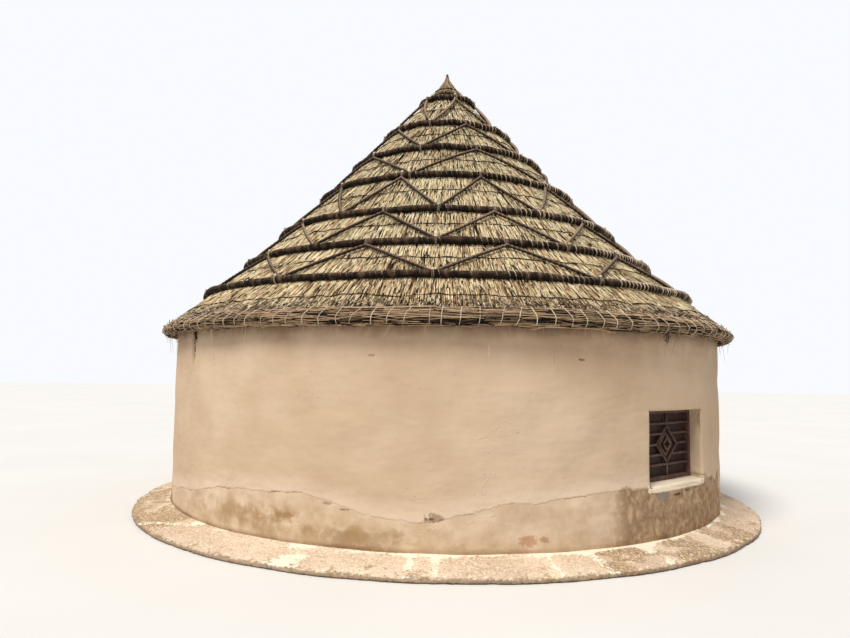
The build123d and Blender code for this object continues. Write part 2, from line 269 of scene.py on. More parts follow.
class Graph:
    """A short way to write a material's nodes and the links between them."""

    def __init__(self, name: str, roughness: float, specular: float) -> None:
        """Start a material.

        Args:
            name: the material's name.
            roughness: the shader's roughness, the same all over.
            specular: the shader's specular level.
        """
        self.material = bpy.data.materials.new(name)
        self.material.use_nodes = True
        self.tree = self.material.node_tree
        self.shader = self.tree.nodes["Principled BSDF"]
        self.shader.inputs["Roughness"].default_value = roughness
        self.shader.inputs["Specular IOR Level"].default_value = specular
        self.point = self.add("TexCoord").outputs["Object"]

    def add(self, kind: str, inputs: dict | None = None, **settings: str) -> bpy.types.Node:
        """Add a node.

        Args:
            kind: the node's type.
            inputs: a value or a link for each input.
            settings: the node's own settings.

        Returns:
            The node.
        """
        node = self.tree.nodes.new("ShaderNode" + kind)
        for key, value in settings.items():
            setattr(node, key, value)
        for place, value in (inputs or {}).items():
            self.feed(node.inputs[place], value)
        return node

    def feed(self, socket: Socket, value: Socket | float | tuple) -> None:
        """Link a socket to an input, or set the input's own value.

        Args:
            socket: the input.
            value: the output that feeds it, or a plain value.
        """
        if isinstance(value, Socket):
            self.tree.links.new(value, socket)
        else:
            socket.default_value = value

    def vector(self, operation: str, first: Socket, second: tuple | Socket = (0.0, 0.0, 0.0)) -> Socket:
        """One sum with vectors."""
        return self.add("VectorMath", {0: first, 1: second}, operation=operation).outputs[0]

    def stretched(self, across: float, up: float) -> Socket:
        """The point with its level axes and its height scaled apart."""
        return self.vector("MULTIPLY", self.point, (across, across, up))

    def spun(self, up: float) -> Socket:
        """The point's direction from the hut's axis, with up × its height added, for long streaks."""
        level = self.vector("NORMALIZE", self.vector("MULTIPLY", self.point, (1.0, 1.0, 0.0)))
        return self.vector("ADD", level, self.vector("MULTIPLY", self.point, (0.0, 0.0, up)))

    def height(self) -> Socket:
        """The height above the ground."""
        return self.add("SeparateXYZ", {0: self.point}).outputs["Z"]

    def noise(self, scale: float, detail: float, vector: Socket | None = None, twist: float = 0.0) -> Socket:
        """Noise, mostly 0.3 to 0.7: scale is clouds in a metre, detail finer layers, twist the warp."""
        inputs = {"Vector": vector or self.point, "Scale": scale, "Detail": detail, "Distortion": twist}
        return self.add("TexNoise", inputs | {"Roughness": 0.6}).outputs["Fac"]

    def attribute(self, name: str) -> Socket:
        """A number that the mesh holds at each point."""
        return self.add("Attribute", attribute_name=name).outputs["Fac"]

    def near(self, place: tuple[float, float, float], tall: float) -> Socket:
        """The distance from a place, in which heights are divided by tall."""
        away = self.vector("MULTIPLY", self.vector("SUBTRACT", self.point, place), (1.0, 1.0, 1.0 / tall))
        return self.add("VectorMath", {0: away}, operation="LENGTH").outputs["Value"]

    def math(self, operation: str, first: Socket | float, second: Socket | float = 0.0) -> Socket:
        """One sum with numbers."""
        return self.add("Math", {0: first, 1: second}, operation=operation).outputs[0]

    def plus(self, first: Socket, second: Socket) -> Socket:
        """Two numbers added."""
        return self.math("ADD", first, second)

    def times(self, first: Socket, second: Socket | float) -> Socket:
        """Two numbers multiplied."""
        return self.math("MULTIPLY", first, second)

    def swing(self, value: Socket, reach: float) -> Socket:
        """Noise as an amount to either side of 0: (noise - 0.5) × reach."""
        return self.times(self.math("SUBTRACT", value, 0.5), reach)

    def span(self, value: Socket, low: float, high: float) -> Socket:
        """0 at low and 1 at high, smooth between them. High may be less than low."""
        inputs = {"Value": value, "From Min": low, "From Max": high}
        return self.add("MapRange", inputs, interpolation_type="SMOOTHSTEP").outputs[0]

    def mix(self, share: Socket, first: Socket | Rgb, second: Socket | Rgb) -> Socket:
        """One colour over another.

        Args:
            share: how much of the second shows.
            first: the colour below.
            second: the colour above.

        Returns:
            The mixed colour.
        """
        tints = [colour(tint) if isinstance(tint, tuple) else tint for tint in (first, second)]
        node = self.add("Mix", {0: share}, data_type="RGBA")
        for place, tint in zip((6, 7), tints):
            self.feed(node.inputs[place], tint)
        return node.outputs[2]

    def over(self, surface: Socket, share: Socket, strength: float, tint: Socket | Rgb) -> Socket:
        """A surface with a colour laid over share × strength of it."""
        return self.mix(self.times(share, strength), surface, tint)

    def ramp(self, value: Socket, *stops: Stop) -> Socket:
        """A colour for each number, blended between stops.

        Args:
            value: the number read.
            stops: a number and its colour, in rising order.

        Returns:
            The colour.
        """
        node = self.add("ValToRGB", {0: value})
        elements = node.color_ramp.elements
        for element, (position, tint) in zip(elements, stops):
            element.position = position
            element.color = colour(tint)
        for position, tint in stops[len(elements) :]:
            elements.new(position).color = colour(tint)
        return node.outputs["Color"]

    def bump(
        self, height: Socket, distance: float, strength: float = 1.0, below: Socket | None = None
    ) -> Socket:
        """Relief that bends the light.

        Args:
            height: the relief, from 0 to 1.
            distance: how many metres high 1 is.
            strength: how much of it is felt.
            below: coarser relief that this one lies on.

        Returns:
            The bent normal.
        """
        inputs = {"Height": height, "Distance": distance, "Strength": strength}
        if below is not None:
            inputs["Normal"] = below
        return self.add("Bump", inputs).outputs["Normal"]

    def done(self, tint: Socket, normal: Socket | None = None) -> Material:
        """Finish the material.

        Args:
            tint: its colour.
            normal: its relief, if it has any.

        Returns:
            The material.
        """
        self.feed(self.shader.inputs["Base Color"], tint)
        if normal is not None:
            self.feed(self.shader.inputs["Normal"], normal)
        return self.material


@dataclass(frozen=True)
class Blemish:
    """A mark on the wall at one place, with a ragged outline."""

    azimuth: float
    height: float
    reach: float
    tint: Rgb
    tall: float = 1.0
    strength: float = 0.85

    def place(self) -> tuple[float, float, float]:
        """Where it is on the wall's face."""
        return tuple(around(self.azimuth, SIZES.wall_radius, self.height).tolist())


# Each mark's azimuth, height, reach, colour, how tall it is for its width, and its strength
BLEMISHES = (
    # Bare brick low on the wall, where the coat has flaked
    (12.2, 0.205, 0.085, (176, 122, 94), 0.60, 0.62),
    (14.6, 0.212, 0.035, (150, 112, 84), 0.9, 0.6),
    # A broken hole in the coat's edge, and chips further left
    (-1.2, 0.385, 0.085, (150, 124, 100), 0.50, 0.8),
    (-1.6, 0.382, 0.042, (84, 66, 52), 0.45),
    (-16.6, 0.458, 0.060, (128, 102, 78), 0.22, 0.6),
    (-14.2, 0.420, 0.055, (112, 88, 66), 0.20, 0.65),
    (-26.0, 0.512, 0.045, (136, 110, 84), 0.20, 0.5),
    # Holes just under the eave, one with the stain that runs from it
    (-49.8, 1.730, 0.060, (150, 120, 92), 3.2, 0.5),
    (-49.2, 1.735, 0.024, (72, 54, 41), 6.5),
    (-49.1, 1.865, 0.064, (30, 23, 18), 1.5, 0.97),
    (38.3, 1.862, 0.055, (62, 42, 33), 1.2),
    # Thin pale runs and small pocks high on the wall
    (6.4, 1.704, 0.010, (224, 196, 168), 9.0, 0.6),
    (15.8, 1.690, 0.009, (222, 194, 166), 10.0, 0.5),
    (20.6, 1.640, 0.040, (96, 76, 60), 0.35, 0.7),
    (-10.5, 1.650, 0.040, (110, 88, 70), 0.30, 0.5),
    # The cement patch under the front window's sill
    (36.8, 0.478, 0.115, (140, 131, 120), 0.50),
    (40.6, 0.474, 0.075, (70, 56, 44), 0.20),
    (44.0, 0.490, 0.055, (84, 68, 54), 0.20, 0.8),
    (47.0, 0.498, 0.040, (84, 68, 54), 0.25, 0.7),
    # The same kinds of mark round the back
    (108.0, 0.330, 0.090, (138, 112, 88), 0.40, 0.7),
    (163.0, 0.240, 0.110, (184, 124, 98), 0.50, 0.7),
    (196.0, 1.860, 0.045, (46, 36, 28)),
    (251.0, 0.400, 0.080, (120, 96, 74), 0.40, 0.7),
)


@dataclass(frozen=True)
class MudPlaster:
    """Sunned mud plaster: a pale upper coat that ends in a wavy edge over a damper lower coat."""

    upper_coat: tuple[Stop, Stop] = ((0.36, (190, 163, 134)), (0.64, (205, 181, 153)))
    lower_coat: tuple[Stop, Stop] = ((0.34, (196, 169, 140)), (0.66, (214, 191, 164)))
    # A painted highlight along the lip of the upper coat's edge, fading up the wall, and the painted shadow
    # in the edge where it is broken
    lip_highlight: Rgb = (221, 198, 174)
    broken_edge: Rgb = (120, 94, 70)
    damp_mud: tuple[Stop, ...] = ((0.34, (122, 96, 70)), (0.50, (156, 127, 95)), (0.66, (190, 162, 129)))
    brown_stain: Rgb = (158, 126, 88)
    # Runs of dirt and the soot line under the eave, each between two heights; both are partly painted shade
    # from the eave
    dirt_runs_and_eave_shade: Rgb = (158, 126, 96)
    dirt_runs_and_eave_shade_heights: tuple[float, float] = (1.35, 1.95)
    soot_and_eave_shade: Rgb = (100, 72, 52)
    soot_and_eave_shade_heights: tuple[float, float] = (1.85, 2.02)
    pocks: Rgb = (122, 98, 76)
    lime: Rgb = (238, 222, 196)

    def coats(self, g: Graph, above: Socket, mottle: Socket) -> Socket:
        """The colours of the upper and lower coats, which meet in a worn edge.

        Args:
            g: the plaster's nodes.
            above: the height over the upper coat's edge.
            mottle: small clouds.

        Returns:
            The colour.
        """
        upper = g.ramp(g.noise(0.8, 3.0), *self.upper_coat)
        lower = g.ramp(mottle, *self.lower_coat)
        surface = g.mix(g.span(above, -0.006, 0.008), lower, upper)
        # Painted highlight on the lip of the coat's edge, fading upwards
        lip_highlight_share = g.times(g.span(above, 0.20, 0.0), g.span(above, -0.02, 0.01))
        surface = g.over(surface, lip_highlight_share, 0.70, self.lip_highlight)
        lip = g.span(g.math("ABSOLUTE", above), 0.006, 0.001)
        broken = g.times(g.span(g.noise(2.4, 5.0), 0.54, 0.60), lip)
        return g.over(surface, broken, 0.55, self.broken_edge)

    def weathered(self, g: Graph, surface: Socket, mottle: Socket, rough: Socket) -> Socket:
        """Damp near the ground, soot and runs under the eave that are partly painted shade from the eave, and
        pocks.

        Args:
            g: the plaster's nodes.
            surface: the colour so far.
            mottle: small clouds.
            rough: small ragged clouds.

        Returns:
            The colour.
        """
        height = g.height()
        damp = g.span(g.plus(g.attribute("damp"), g.swing(rough, 1.1)), 0.32, 0.72)
        surface = g.over(surface, damp, 0.88, g.ramp(rough, *self.damp_mud))
        stain = g.times(g.attribute("stain"), g.span(g.noise(5.0, 5.0), 0.40, 0.62))
        surface = g.over(surface, stain, 0.8, self.brown_stain)
        # Dirt runs that are partly painted shade, darkening the wall up towards the eave
        dirt_runs_and_eave_shade = g.span(g.noise(1.5, 5.0, g.stretched(1.2, 0.6)), 0.32, 0.66)
        surface = g.over(surface, g.times(g.span(height, *self.dirt_runs_and_eave_shade_heights), dirt_runs_and_eave_shade), 0.5, self.dirt_runs_and_eave_shade)
        # The soot band is partly painted shade, darkening the wall just under the eave
        soot_and_eave_shade = g.span(g.plus(height, g.times(mottle, 0.16)), *self.soot_and_eave_shade_heights)
        surface = g.over(surface, soot_and_eave_shade, 0.75, self.soot_and_eave_shade)
        pocks = g.span(g.noise(17.0, 3.0, g.stretched(1.0, 2.0)), 0.70, 0.76)
        return g.over(surface, pocks, 0.55, self.pocks)

    def relief(self, g: Graph, above: Socket, rough: Socket) -> Socket:
        """The coat's edge, broad hand marks, lumps and grit, each laid on the coarser ones.

        Args:
            g: the plaster's nodes.
            above: the height over the upper coat's edge.
            rough: small ragged clouds.

        Returns:
            The bent normal.
        """
        relief = g.bump(g.span(above, -0.008, 0.012), 0.005)
        relief = g.bump(g.noise(2.4, 2.0, g.stretched(1.0, 2.0)), 0.035, 0.7, relief)
        lumps = g.span(g.noise(6.5, 3.0, g.stretched(0.8, 1.5), 1.2), 0.56, 0.66)
        lumps = g.times(lumps, g.span(g.noise(1.1, 3.0), 0.54, 0.66))
        relief = g.bump(lumps, 0.006, 0.45, relief)
        relief = g.bump(rough, 0.008, 0.6, relief)
        return g.bump(g.noise(110.0, 4.0), 0.0016, 0.7, relief)

    def make(self) -> Material:
        """Its coats, weather, blemishes and the lime under the sills.

        Returns:
            The material.
        """
        g = Graph("mud_plaster", 0.92, 0.15)
        mottle = g.noise(6.0, 6.0)
        rough = g.noise(15.0, 8.0, g.stretched(1.0, 0.8), 0.5)
        wander = g.plus(g.swing(g.noise(5.0, 4.0), 0.07), g.swing(g.noise(30.0, 5.0), 0.028))
        above = g.plus(g.attribute("coat"), wander)
        surface = self.weathered(g, self.coats(g, above, mottle), mottle, rough)
        ragged = g.noise(34.0, 5.0)
        for mark in (Blemish(*row) for row in BLEMISHES):
            away = g.plus(g.near(mark.place(), mark.tall), g.swing(ragged, 2.2 * mark.reach))
            surface = g.over(surface, g.span(away, mark.reach, mark.reach * 0.6), mark.strength, mark.tint)
        lime = g.plus(g.attribute("lime"), g.swing(ragged, 0.5))
        surface = g.over(surface, g.span(lime, 0.40, 0.62), 0.9, self.lime)
        return g.done(surface, self.relief(g, above, rough))


@dataclass(frozen=True)
class WornCement:
    """Worn cement: pale and pinkish, stippled with cream grit, with lime and brown patches."""

    clouds: tuple[Stop, Stop] = ((0.38, (212, 185, 158)), (0.62, (234, 212, 184)))
    bare: tuple[Stop, Stop] = ((0.38, (138, 108, 76)), (0.62, (190, 158, 118)))
    hollows: Rgb = (142, 114, 88)
    grit: Rgb = (250, 236, 208)
    grit_shadows: Rgb = (120, 98, 78)
    lime: Rgb = (252, 241, 216)
    # Painted shade on the plinth's side face, and a painted shadow line where its foot meets the ground
    side: tuple[Rgb, Rgb] = ((104, 84, 66), (172, 144, 115))
    foot: Rgb = (58, 45, 36)

    def make(self) -> Material:
        """Its clouds, worn places, grit and lime, and painted shade on a side that darkens towards its foot.

        Returns:
            The material.
        """
        g = Graph("worn_cement", 0.9, 0.2)
        broad, grain, grit = g.noise(1.5, 5.0), g.noise(34.0, 8.0), g.noise(52.0, 4.0)
        surface = g.ramp(broad, *self.clouds)
        bare = g.plus(g.noise(3.0, 6.0, None, 0.7), g.swing(g.attribute("wear"), 0.22))
        surface = g.over(surface, g.span(bare, 0.52, 0.62), 0.8, g.ramp(grain, *self.bare))
        surface = g.over(surface, g.span(grain, 0.42, 0.33), 0.6, self.hollows)
        surface = g.over(surface, g.span(grit, 0.545, 0.62), 0.75, self.grit)
        surface = g.over(surface, g.span(grit, 0.42, 0.36), 0.35, self.grit_shadows)
        lime = g.plus(g.attribute("lime"), g.swing(grain, 1.5))
        surface = g.over(surface, g.span(lime, 0.40, 0.62), 0.9, self.lime)
        # Painted shade: the side face is darker, and darkest in a line at its foot
        side = g.span(g.plus(g.height(), g.swing(grain, 0.05)), 0.046, 0.030)
        surface = g.over(surface, side, 0.8, g.mix(grain, *self.side))
        foot = g.span(g.plus(g.height(), g.swing(grain, 0.03)), 0.016, 0.006)
        surface = g.over(surface, foot, 0.7, self.foot)
        relief = g.bump(grain, 0.014, 1.0, g.bump(broad, 0.02, 0.7))
        return g.done(surface, g.bump(grit, 0.004, 0.9, relief))


@dataclass(frozen=True)
class PackedStraw:
    """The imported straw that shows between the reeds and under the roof: streaks down the slope."""

    streaks: tuple[Stop, ...] = ((0.38, (22, 16, 12)), (0.52, (58, 44, 32)), (0.66, (128, 104, 76)))

    def make(self) -> Material:
        """Fine streaks over broad ridges.

        Returns:
            The material.
        """
        g = Graph("packed_straw", 0.88, 0.1)
        point = g.spun(0.05)
        fine = g.noise(130.0, 5.0, point)
        relief = g.bump(fine, 0.02, 1.0, g.bump(g.noise(28.0, 4.0, point), 0.03, 0.8))
        return g.done(g.ramp(fine, *self.streaks), relief)


@dataclass(frozen=True)
class DryStalks:
    """Dry stalks: each has its own tone among the stops from dark to pale, with darker stains."""

    name: str
    stops: tuple[Stop, ...]

    def make(self) -> Material:
        """The stalks' own tones with small and broad stains added.

        Returns:
            The material.
        """
        g = Graph(self.name, 0.75, 0.2)
        stain = g.plus(g.swing(g.noise(16.0, 4.0), 0.45), g.swing(g.noise(1.3, 3.0), 0.40))
        tone = g.plus(g.attribute("tone"), stain)
        return g.done(g.ramp(tone, *self.stops), g.bump(g.noise(160.0, 2.0), 0.002, 0.5))


@dataclass(frozen=True)
class Grained:
    """A finish with one grain in its colour and its relief. Its colour runs from dark to light."""

    name: str
    dark: Rgb
    light: Rgb
    roughness: float
    specular: float
    # The grain: its clouds in a metre, its finer layers, its stretch across and up, and its warp
    scale: float
    detail: float
    stretch: tuple[float, float] = (1.0, 1.0)
    twist: float = 0.0
    # The amounts of grain at which the colour is dark and light
    ends: tuple[float, float] = (0.35, 0.65)
    # Above 0, the grain swings the tone of each strand by so much, and that tone gives the colour
    swing: float = 0.0
    # The relief's height, and finer relief: clouds in a metre, finer layers, height and strength
    relief: float | None = None
    pores: tuple[float, float, float, float] | None = None

    def make(self) -> Material:
        """The colour from the grain, and the relief from the grain and its pores.

        Returns:
            The material.
        """
        g = Graph(self.name, self.roughness, self.specular)
        grain = g.noise(self.scale, self.detail, g.stretched(*self.stretch), self.twist)
        normal = g.bump(grain, self.relief) if self.relief else None
        if self.pores:
            scale, detail, height, strength = self.pores
            normal = g.bump(g.noise(scale, detail), height, strength, normal)
        tone = g.plus(g.attribute("tone"), g.swing(grain, self.swing)) if self.swing else grain
        return g.done(g.ramp(tone, (self.ends[0], self.dark), (self.ends[1], self.light)), normal)


def plain_plaster(name: str, dark: Rgb, light: Rgb) -> Material:
    """Mud plaster in soft clouds, for the wall's inside, its hidden tops and the sills."""
    look = {"relief": 0.012, "pores": (80.0, 3.0, 0.0015, 0.6)}
    return Grained(name, dark, light, 0.93, 0.15, 5.0, 6.0, **look).make()


def trodden_screed(name: str, dark: Rgb, light: Rgb) -> Material:
    """A trodden floor screed in broad clouds."""
    look = {"ends": (0.36, 0.64), "pores": (30.0, 5.0, 0.003, 1.0)}
    return Grained(name, dark, light, 0.8, 0.25, 2.4, 6.0, **look).make()


def bundled_grass(name: str, dark: Rgb, light: Rgb) -> Material:
    """Bundled grass: fine strands that run round the hut, dark between them."""
    look = {"ends": (0.15, 0.85), "swing": 1.3, "relief": 0.012, "pores": (150.0, 3.0, 0.002, 0.7)}
    return Grained(name, dark, light, 0.88, 0.12, 9.0, 6.0, (0.9, 16.0), 0.5, **look).make()


def twisted_cord(name: str, dark: Rgb, light: Rgb) -> Material:
    """Twisted cord with uneven fibres, dark between them."""
    look = {"ends": (0.15, 0.85), "swing": 1.0, "relief": 0.003}
    return Grained(name, dark, light, 0.85, 0.15, 90.0, 4.0, **look).make()


def old_timber(name: str, dark: Rgb, light: Rgb, scale: float) -> Material:
    """Old timber with long uneven grain, dark in its hollows. A larger scale is a finer grain."""
    look = {"ends": (0.35, 0.66), "relief": 0.003, "pores": (scale * 6, 3.0, 0.0008, 0.6)}
    return Grained(name, dark, light, 0.7, 0.25, scale, 6.0, (1.0, 0.35), 0.7, **look).make()


# Weathered reeds, from dark gaps through grey brown to sunned cream
REED_STOPS = (
    (0.02, (32, 24, 18)),
    (0.22, (103, 78, 56)),
    (0.44, (172, 140, 102)),
    (0.68, (224, 194, 149)),
    (0.94, (253, 239, 200)),
)
# The greyer cut ends of the thatch
FRINGE_STOPS = ((0.05, (40, 31, 25)), (0.40, (104, 84, 66)), (0.72, (164, 142, 116)), (0.97, (222, 206, 178)))
# Fine straw, with dusty shadows
STRAW_STOPS = ((0.05, (74, 57, 43)), (0.38, (142, 118, 90)), (0.70, (190, 166, 130)), (0.97, (228, 210, 176)))


class Finishes:
    """The materials of the hut, each made once."""

    def __init__(self) -> None:
        """Make every material."""
        self.plaster = MudPlaster().make()
        self.inner_plaster = plain_plaster("inner_plaster", (166, 140, 110), (196, 170, 140))
        self.sill_plaster = plain_plaster("sill_plaster", (200, 180, 152), (224, 208, 182))
        self.cement = WornCement().make()
        self.screed = trodden_screed("trodden_screed", (142, 126, 108), (180, 164, 144))
        self.straw_bed = PackedStraw().make()
        self.reed = DryStalks("reed", REED_STOPS).make()
        self.fringe = DryStalks("fringe", FRINGE_STOPS).make()
        self.straw = DryStalks("straw", STRAW_STOPS).make()
        self.grass = bundled_grass("grass_binding", (28, 20, 16), (112, 89, 69))
        self.roll = bundled_grass("grass_roll", (40, 30, 23), (208, 175, 139))
        self.pale_cord = twisted_cord("pale_cord", (150, 128, 106), (226, 208, 182))
        self.winding_cord = twisted_cord("winding_cord", (44, 33, 26), (206, 186, 160))
        self.dark_cord = twisted_cord("dark_cord", (34, 27, 23), (78, 62, 50))
        self.rope = twisted_cord("zigzag_rope", (50, 38, 31), (170, 145, 122))
        self.dark_timber = old_timber("dark_timber", (44, 30, 26), (68, 47, 40), 26)
        self.bar_timber = old_timber("bar_timber", (72, 52, 45), (104, 78, 68), 30)
        self.door_timber = old_timber("door_timber", (78, 54, 38), (118, 86, 60), 22)
        self.pole_timber = old_timber("pole_timber", (104, 80, 56), (158, 128, 94), 16)


# The tone of what has none of its own, from 0 dark to 1 pale
MID_TONE = 0.5


def strip(here: Array, there: Array) -> Array:
    """Quads between rows of indices that each close on themselves along the last axis."""
    return np.stack([here, np.roll(here, -1, axis=-1), np.roll(there, -1, axis=-1), there], axis=-1)


class Surface:
    """Points and faces gathered from several shapes to become one piece."""

    def __init__(self) -> None:
        """Start with nothing."""
        self.points: list[Array] = []
        self.faces: list[Array] = []
        self.tones: list[Array] = []
        self.count = 0

    def add(self, points: Array, faces: list[Array], tone: Array | float = MID_TONE) -> None:
        """Add a shape.

        Args:
            points: its points, with x, y and z along the last axis.
            faces: arrays of faces, each a row of indices into the points.
            tone: a number for each point, or one for all.
        """
        points = points.reshape(-1, 3)
        self.points.append(points)
        self.tones.append(np.broadcast_to(tone, len(points)))
        self.faces.extend(rows + self.count for rows in faces)
        self.count += len(points)

    def tubes(
        self, paths: Array, outward: Array, radii: Array, sides: int, closed: bool = False,
        tone: Array | float = MID_TONE,
    ) -> None:
        """Tubes along many paths at once.

        A point of a tube is its path's point plus its radius times (cos a × outward + sin a × across),
        for angles a that share a full turn between the sides. Across is the path's direction × outward.

        Args:
            paths: (tubes, steps, 3) points.
            outward: a direction at each of them, roughly square to the path.
            radii: (tubes, steps) or (tubes, steps, sides) radii.
            sides: how many sides a tube has.
            closed: whether each path is a loop. Open tubes get flat ends.
            tone: a number, or one for each tube as (tubes, 1), for each step, or for each side.
        """
        if closed:
            ahead = np.roll(paths, -1, axis=1) - np.roll(paths, 1, axis=1)
        else:
            ahead = np.gradient(paths, axis=1)
        ahead = unit(ahead)
        outward = np.broadcast_to(outward, paths.shape)
        normal = unit(outward - np.sum(outward * ahead, axis=-1, keepdims=True) * ahead)
        across = np.cross(ahead, normal)
        angle = 2 * np.pi * np.arange(sides)[:, None] / sides
        ring = np.cos(angle) * normal[:, :, None] + np.sin(angle) * across[:, :, None]
        radii = np.asarray(radii, float)
        radii = radii[..., None] if radii.ndim < 3 else radii
        points = paths[:, :, None] + radii[..., None] * ring
        tube_count, steps = paths.shape[:2]
        index = np.arange(tube_count * steps * sides).reshape(tube_count, steps, sides)
        here, there = (index, np.roll(index, -1, axis=1)) if closed else (index[:, :-1], index[:, 1:])
        faces = [strip(here, there).reshape(-1, 4)]
        if not closed:
            faces += [index[:, 0, ::-1], index[:, -1]]
        tone = np.asarray(tone, float)
        tone = tone[..., None] if tone.ndim < 3 else tone
        self.add(points, faces, np.broadcast_to(tone, (tube_count, steps, sides)).ravel())

    def shell(self, front: Array, back: Array, keep: Array) -> None:
        """A closed shell between two grids of points that go once round the hut.

        A cell of the front grid has its twin in the back grid, and where cells are left out the rim
        between the two is closed with quads.

        Args:
            front: (rows, columns, 3) points whose rows go up and whose columns go round.
            back: the same for the hidden side.
            keep: (rows - 1, columns) flags of the cells that are there.
        """
        rows, columns = front.shape[:2]
        count = rows * columns
        index = np.arange(count).reshape(rows, columns)
        cells = strip(index[:-1], index[1:])[keep]
        edges = np.concatenate([cells[:, [side, (side + 1) % 4]] for side in range(4)])
        rim = edges[~np.isin(edges[:, 0] * count + edges[:, 1], edges[:, 1] * count + edges[:, 0])]
        sides = np.stack([rim[:, 1], rim[:, 0], rim[:, 0] + count, rim[:, 1] + count], axis=-1)
        points = np.concatenate([front.reshape(-1, 3), back.reshape(-1, 3)])
        self.add(points, [cells, cells[:, ::-1] + count, sides])

    def turned(self, rings: Array) -> None:
        """A closed body between rings of points, with flat ends.

        Args:
            rings: (rings, columns, 3) points whose columns go round, in the order of a profile that
                keeps the body on its left.
        """
        rows, columns = rings.shape[:2]
        index = np.arange(rows * columns).reshape(rows, columns)
        cells = strip(index[:-1], index[1:]).reshape(-1, 4)
        self.add(rings, [cells, index[:1, ::-1], index[-1:]])

    def bars(self, starts: Array, ends: Array, face: Array, width: float, depth: float) -> None:
        """Square bars between points, with a small bevel along their front edges.

        Args:
            starts: (bars, 3) middles of one end.
            ends: (bars, 3) middles of the other end.
            face: the direction that the bars' front faces.
            width: across the front.
            depth: from back to front.
        """
        bevel = 0.18 * min(width, depth)
        half, deep = width / 2, depth / 2
        right_side = [(half, -deep), (half, deep - bevel), (half - bevel, deep)]
        outline = np.array(right_side + [(-x, y) for x, y in right_side[::-1]])
        ahead = unit(ends - starts)
        across = np.cross(ahead, face)
        section = outline[:, 0, None] * across[:, None] + outline[:, 1, None] * np.asarray(face)
        points = np.stack([starts[:, None] + section, ends[:, None] + section], axis=1)
        index = np.arange(points.size // 3).reshape(len(starts), 2, len(outline))
        here, there = index[:, 0], index[:, 1]
        self.add(points, [strip(here, there).reshape(-1, 4)[:, ::-1], here, there[:, ::-1]])

    def build(
        self, name: str, slot: Slot, finish: Material, smooth: bool = True,
        replaces: tuple[str, ...] = (), numbers: dict[str, Array] | None = None,
    ) -> None:
        """Make the piece and set it on the hut.

        Args:
            name: the piece's name.
            slot: not used.
            finish: its material.
            smooth: whether light flows over its edges.
            replaces: the CAD nodes that it stands for.
            numbers: more numbers for each point, by name, for its material.
        """
        points = np.concatenate(self.points)
        numbers = {"tone": np.concatenate(self.tones), **(numbers or {})}
        loops = np.concatenate([rows.ravel() for rows in self.faces])
        sizes = np.concatenate([np.full(len(rows), rows.shape[1]) for rows in self.faces])
        used, loops = np.unique(loops, return_inverse=True)
        mesh = bpy.data.meshes.new(name)
        mesh.vertices.add(len(used))
        mesh.vertices.foreach_set("co", points[used].astype(np.float32).ravel())
        mesh.loops.add(len(loops))
        mesh.loops.foreach_set("vertex_index", loops.astype(np.int32).ravel())
        mesh.polygons.add(len(sizes))
        mesh.polygons.foreach_set("loop_start", (np.cumsum(sizes) - sizes).astype(np.int32))
        mesh.update(calc_edges=True)
        for key, values in numbers.items():
            layer = mesh.attributes.new(key, "FLOAT", "POINT")
            layer.data.foreach_set("value", values[used].astype(np.float32))
        if smooth:
            mesh.shade_smooth()
        mesh.materials.append(finish)
        piece = bpy.data.objects.new(name, mesh)
        bpy.context.scene.collection.objects.link(piece)
        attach(piece, "root")
        if replaces:
            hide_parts(*replaces)
        LOG.info("%s: %d triangles", name, int(np.sum(sizes - 2)))


def assemble(
    name: str, slot: Slot, finish: Material, *makers: Callable[[Surface], None], **settings: object
) -> None:
    """Make one piece of what some makers add to it.

    Args:
        name: the piece's name.
        slot: the record's material slot, handed on to the piece's build.
        finish: its material.
        makers: what adds shapes to it, in order.
        settings: what else is said of the piece when it is built.
    """
    surface = Surface()
    for maker in makers:
        maker(surface)
    surface.build(name, slot, finish, **settings)


def column_draws(rng: np.random.Generator, count: int) -> tuple[Callable, Callable]:
    """Two ways to draw a column of numbers: evenly between two ends, and spread round a middle."""
    return partial(rng.uniform, size=(count, 1)), partial(rng.normal, size=(count, 1))


@dataclass
class SubAssembly:
    """A part of the hut, with the sizes that it follows and the materials that it is dressed in."""

    sizes: HutSizes
    finishes: Finishes


@dataclass(frozen=True)
class Opening:
    """A window or a doorway, as the plaster coat wraps into it."""

    azimuth: float
    width: float
    bottom: float
    top: float
    reveal: float
    sill_rise: float = 0.0
    is_door: bool = False


@dataclass
class EdgeLines:
    """Grid lines across an opening, and where each of them lies.

    The lines are evenly spread on the wall's face. Beside the opening they close up: some stay on
    the face, some follow the rounded edge, some follow the reveal and the rest cross the opening.
    """

    # The opening's lower or left side, its upper or right side, and how deep its reveal goes
    low: float
    high: float
    reveal: float
    # How many lines cross the opening, and whether it has an edge at low
    inside: int
    low_edge: bool = True
    margin: float = 0.14
    rounding: float = 0.020
    face_lines: int = 4
    bend_lines: int = 4
    reveal_lines: int = 4

    def __post_init__(self) -> None:
        """Work out the lines. The rounded edge is a quarter turn: rounding × (sin a, 1 - cos a)."""
        low, high, inside = self.low, self.high, self.inside
        bend = np.linspace(0, np.pi / 2, self.bend_lines)
        on_face = np.linspace(-self.margin, -self.rounding, self.face_lines)[:-1]
        along_reveal = np.linspace(self.rounding, self.reveal, self.reveal_lines + 1)[1:]
        edge_at = np.concatenate([on_face, self.rounding * (np.sin(bend) - 1), 0 * along_reveal])
        edge_depth = np.concatenate([0 * on_face, self.rounding * (1 - np.cos(bend)), along_reveal])
        middle = np.linspace(low, high, inside + 2)[1:-1]
        first = (low + edge_at, edge_depth) if self.low_edge else (np.empty(0), np.empty(0))
        last = (high - edge_at[::-1], edge_depth[::-1])
        self.closed = np.concatenate([first[0], middle, last[0]])
        self.depth = np.concatenate([first[1], np.full(inside, self.reveal), last[1]])
        start = low - self.margin if self.low_edge else middle[0]
        self.spread = np.linspace(start, high + self.margin, len(self.closed))
        self.low_side = self.closed < (low + high) / 2


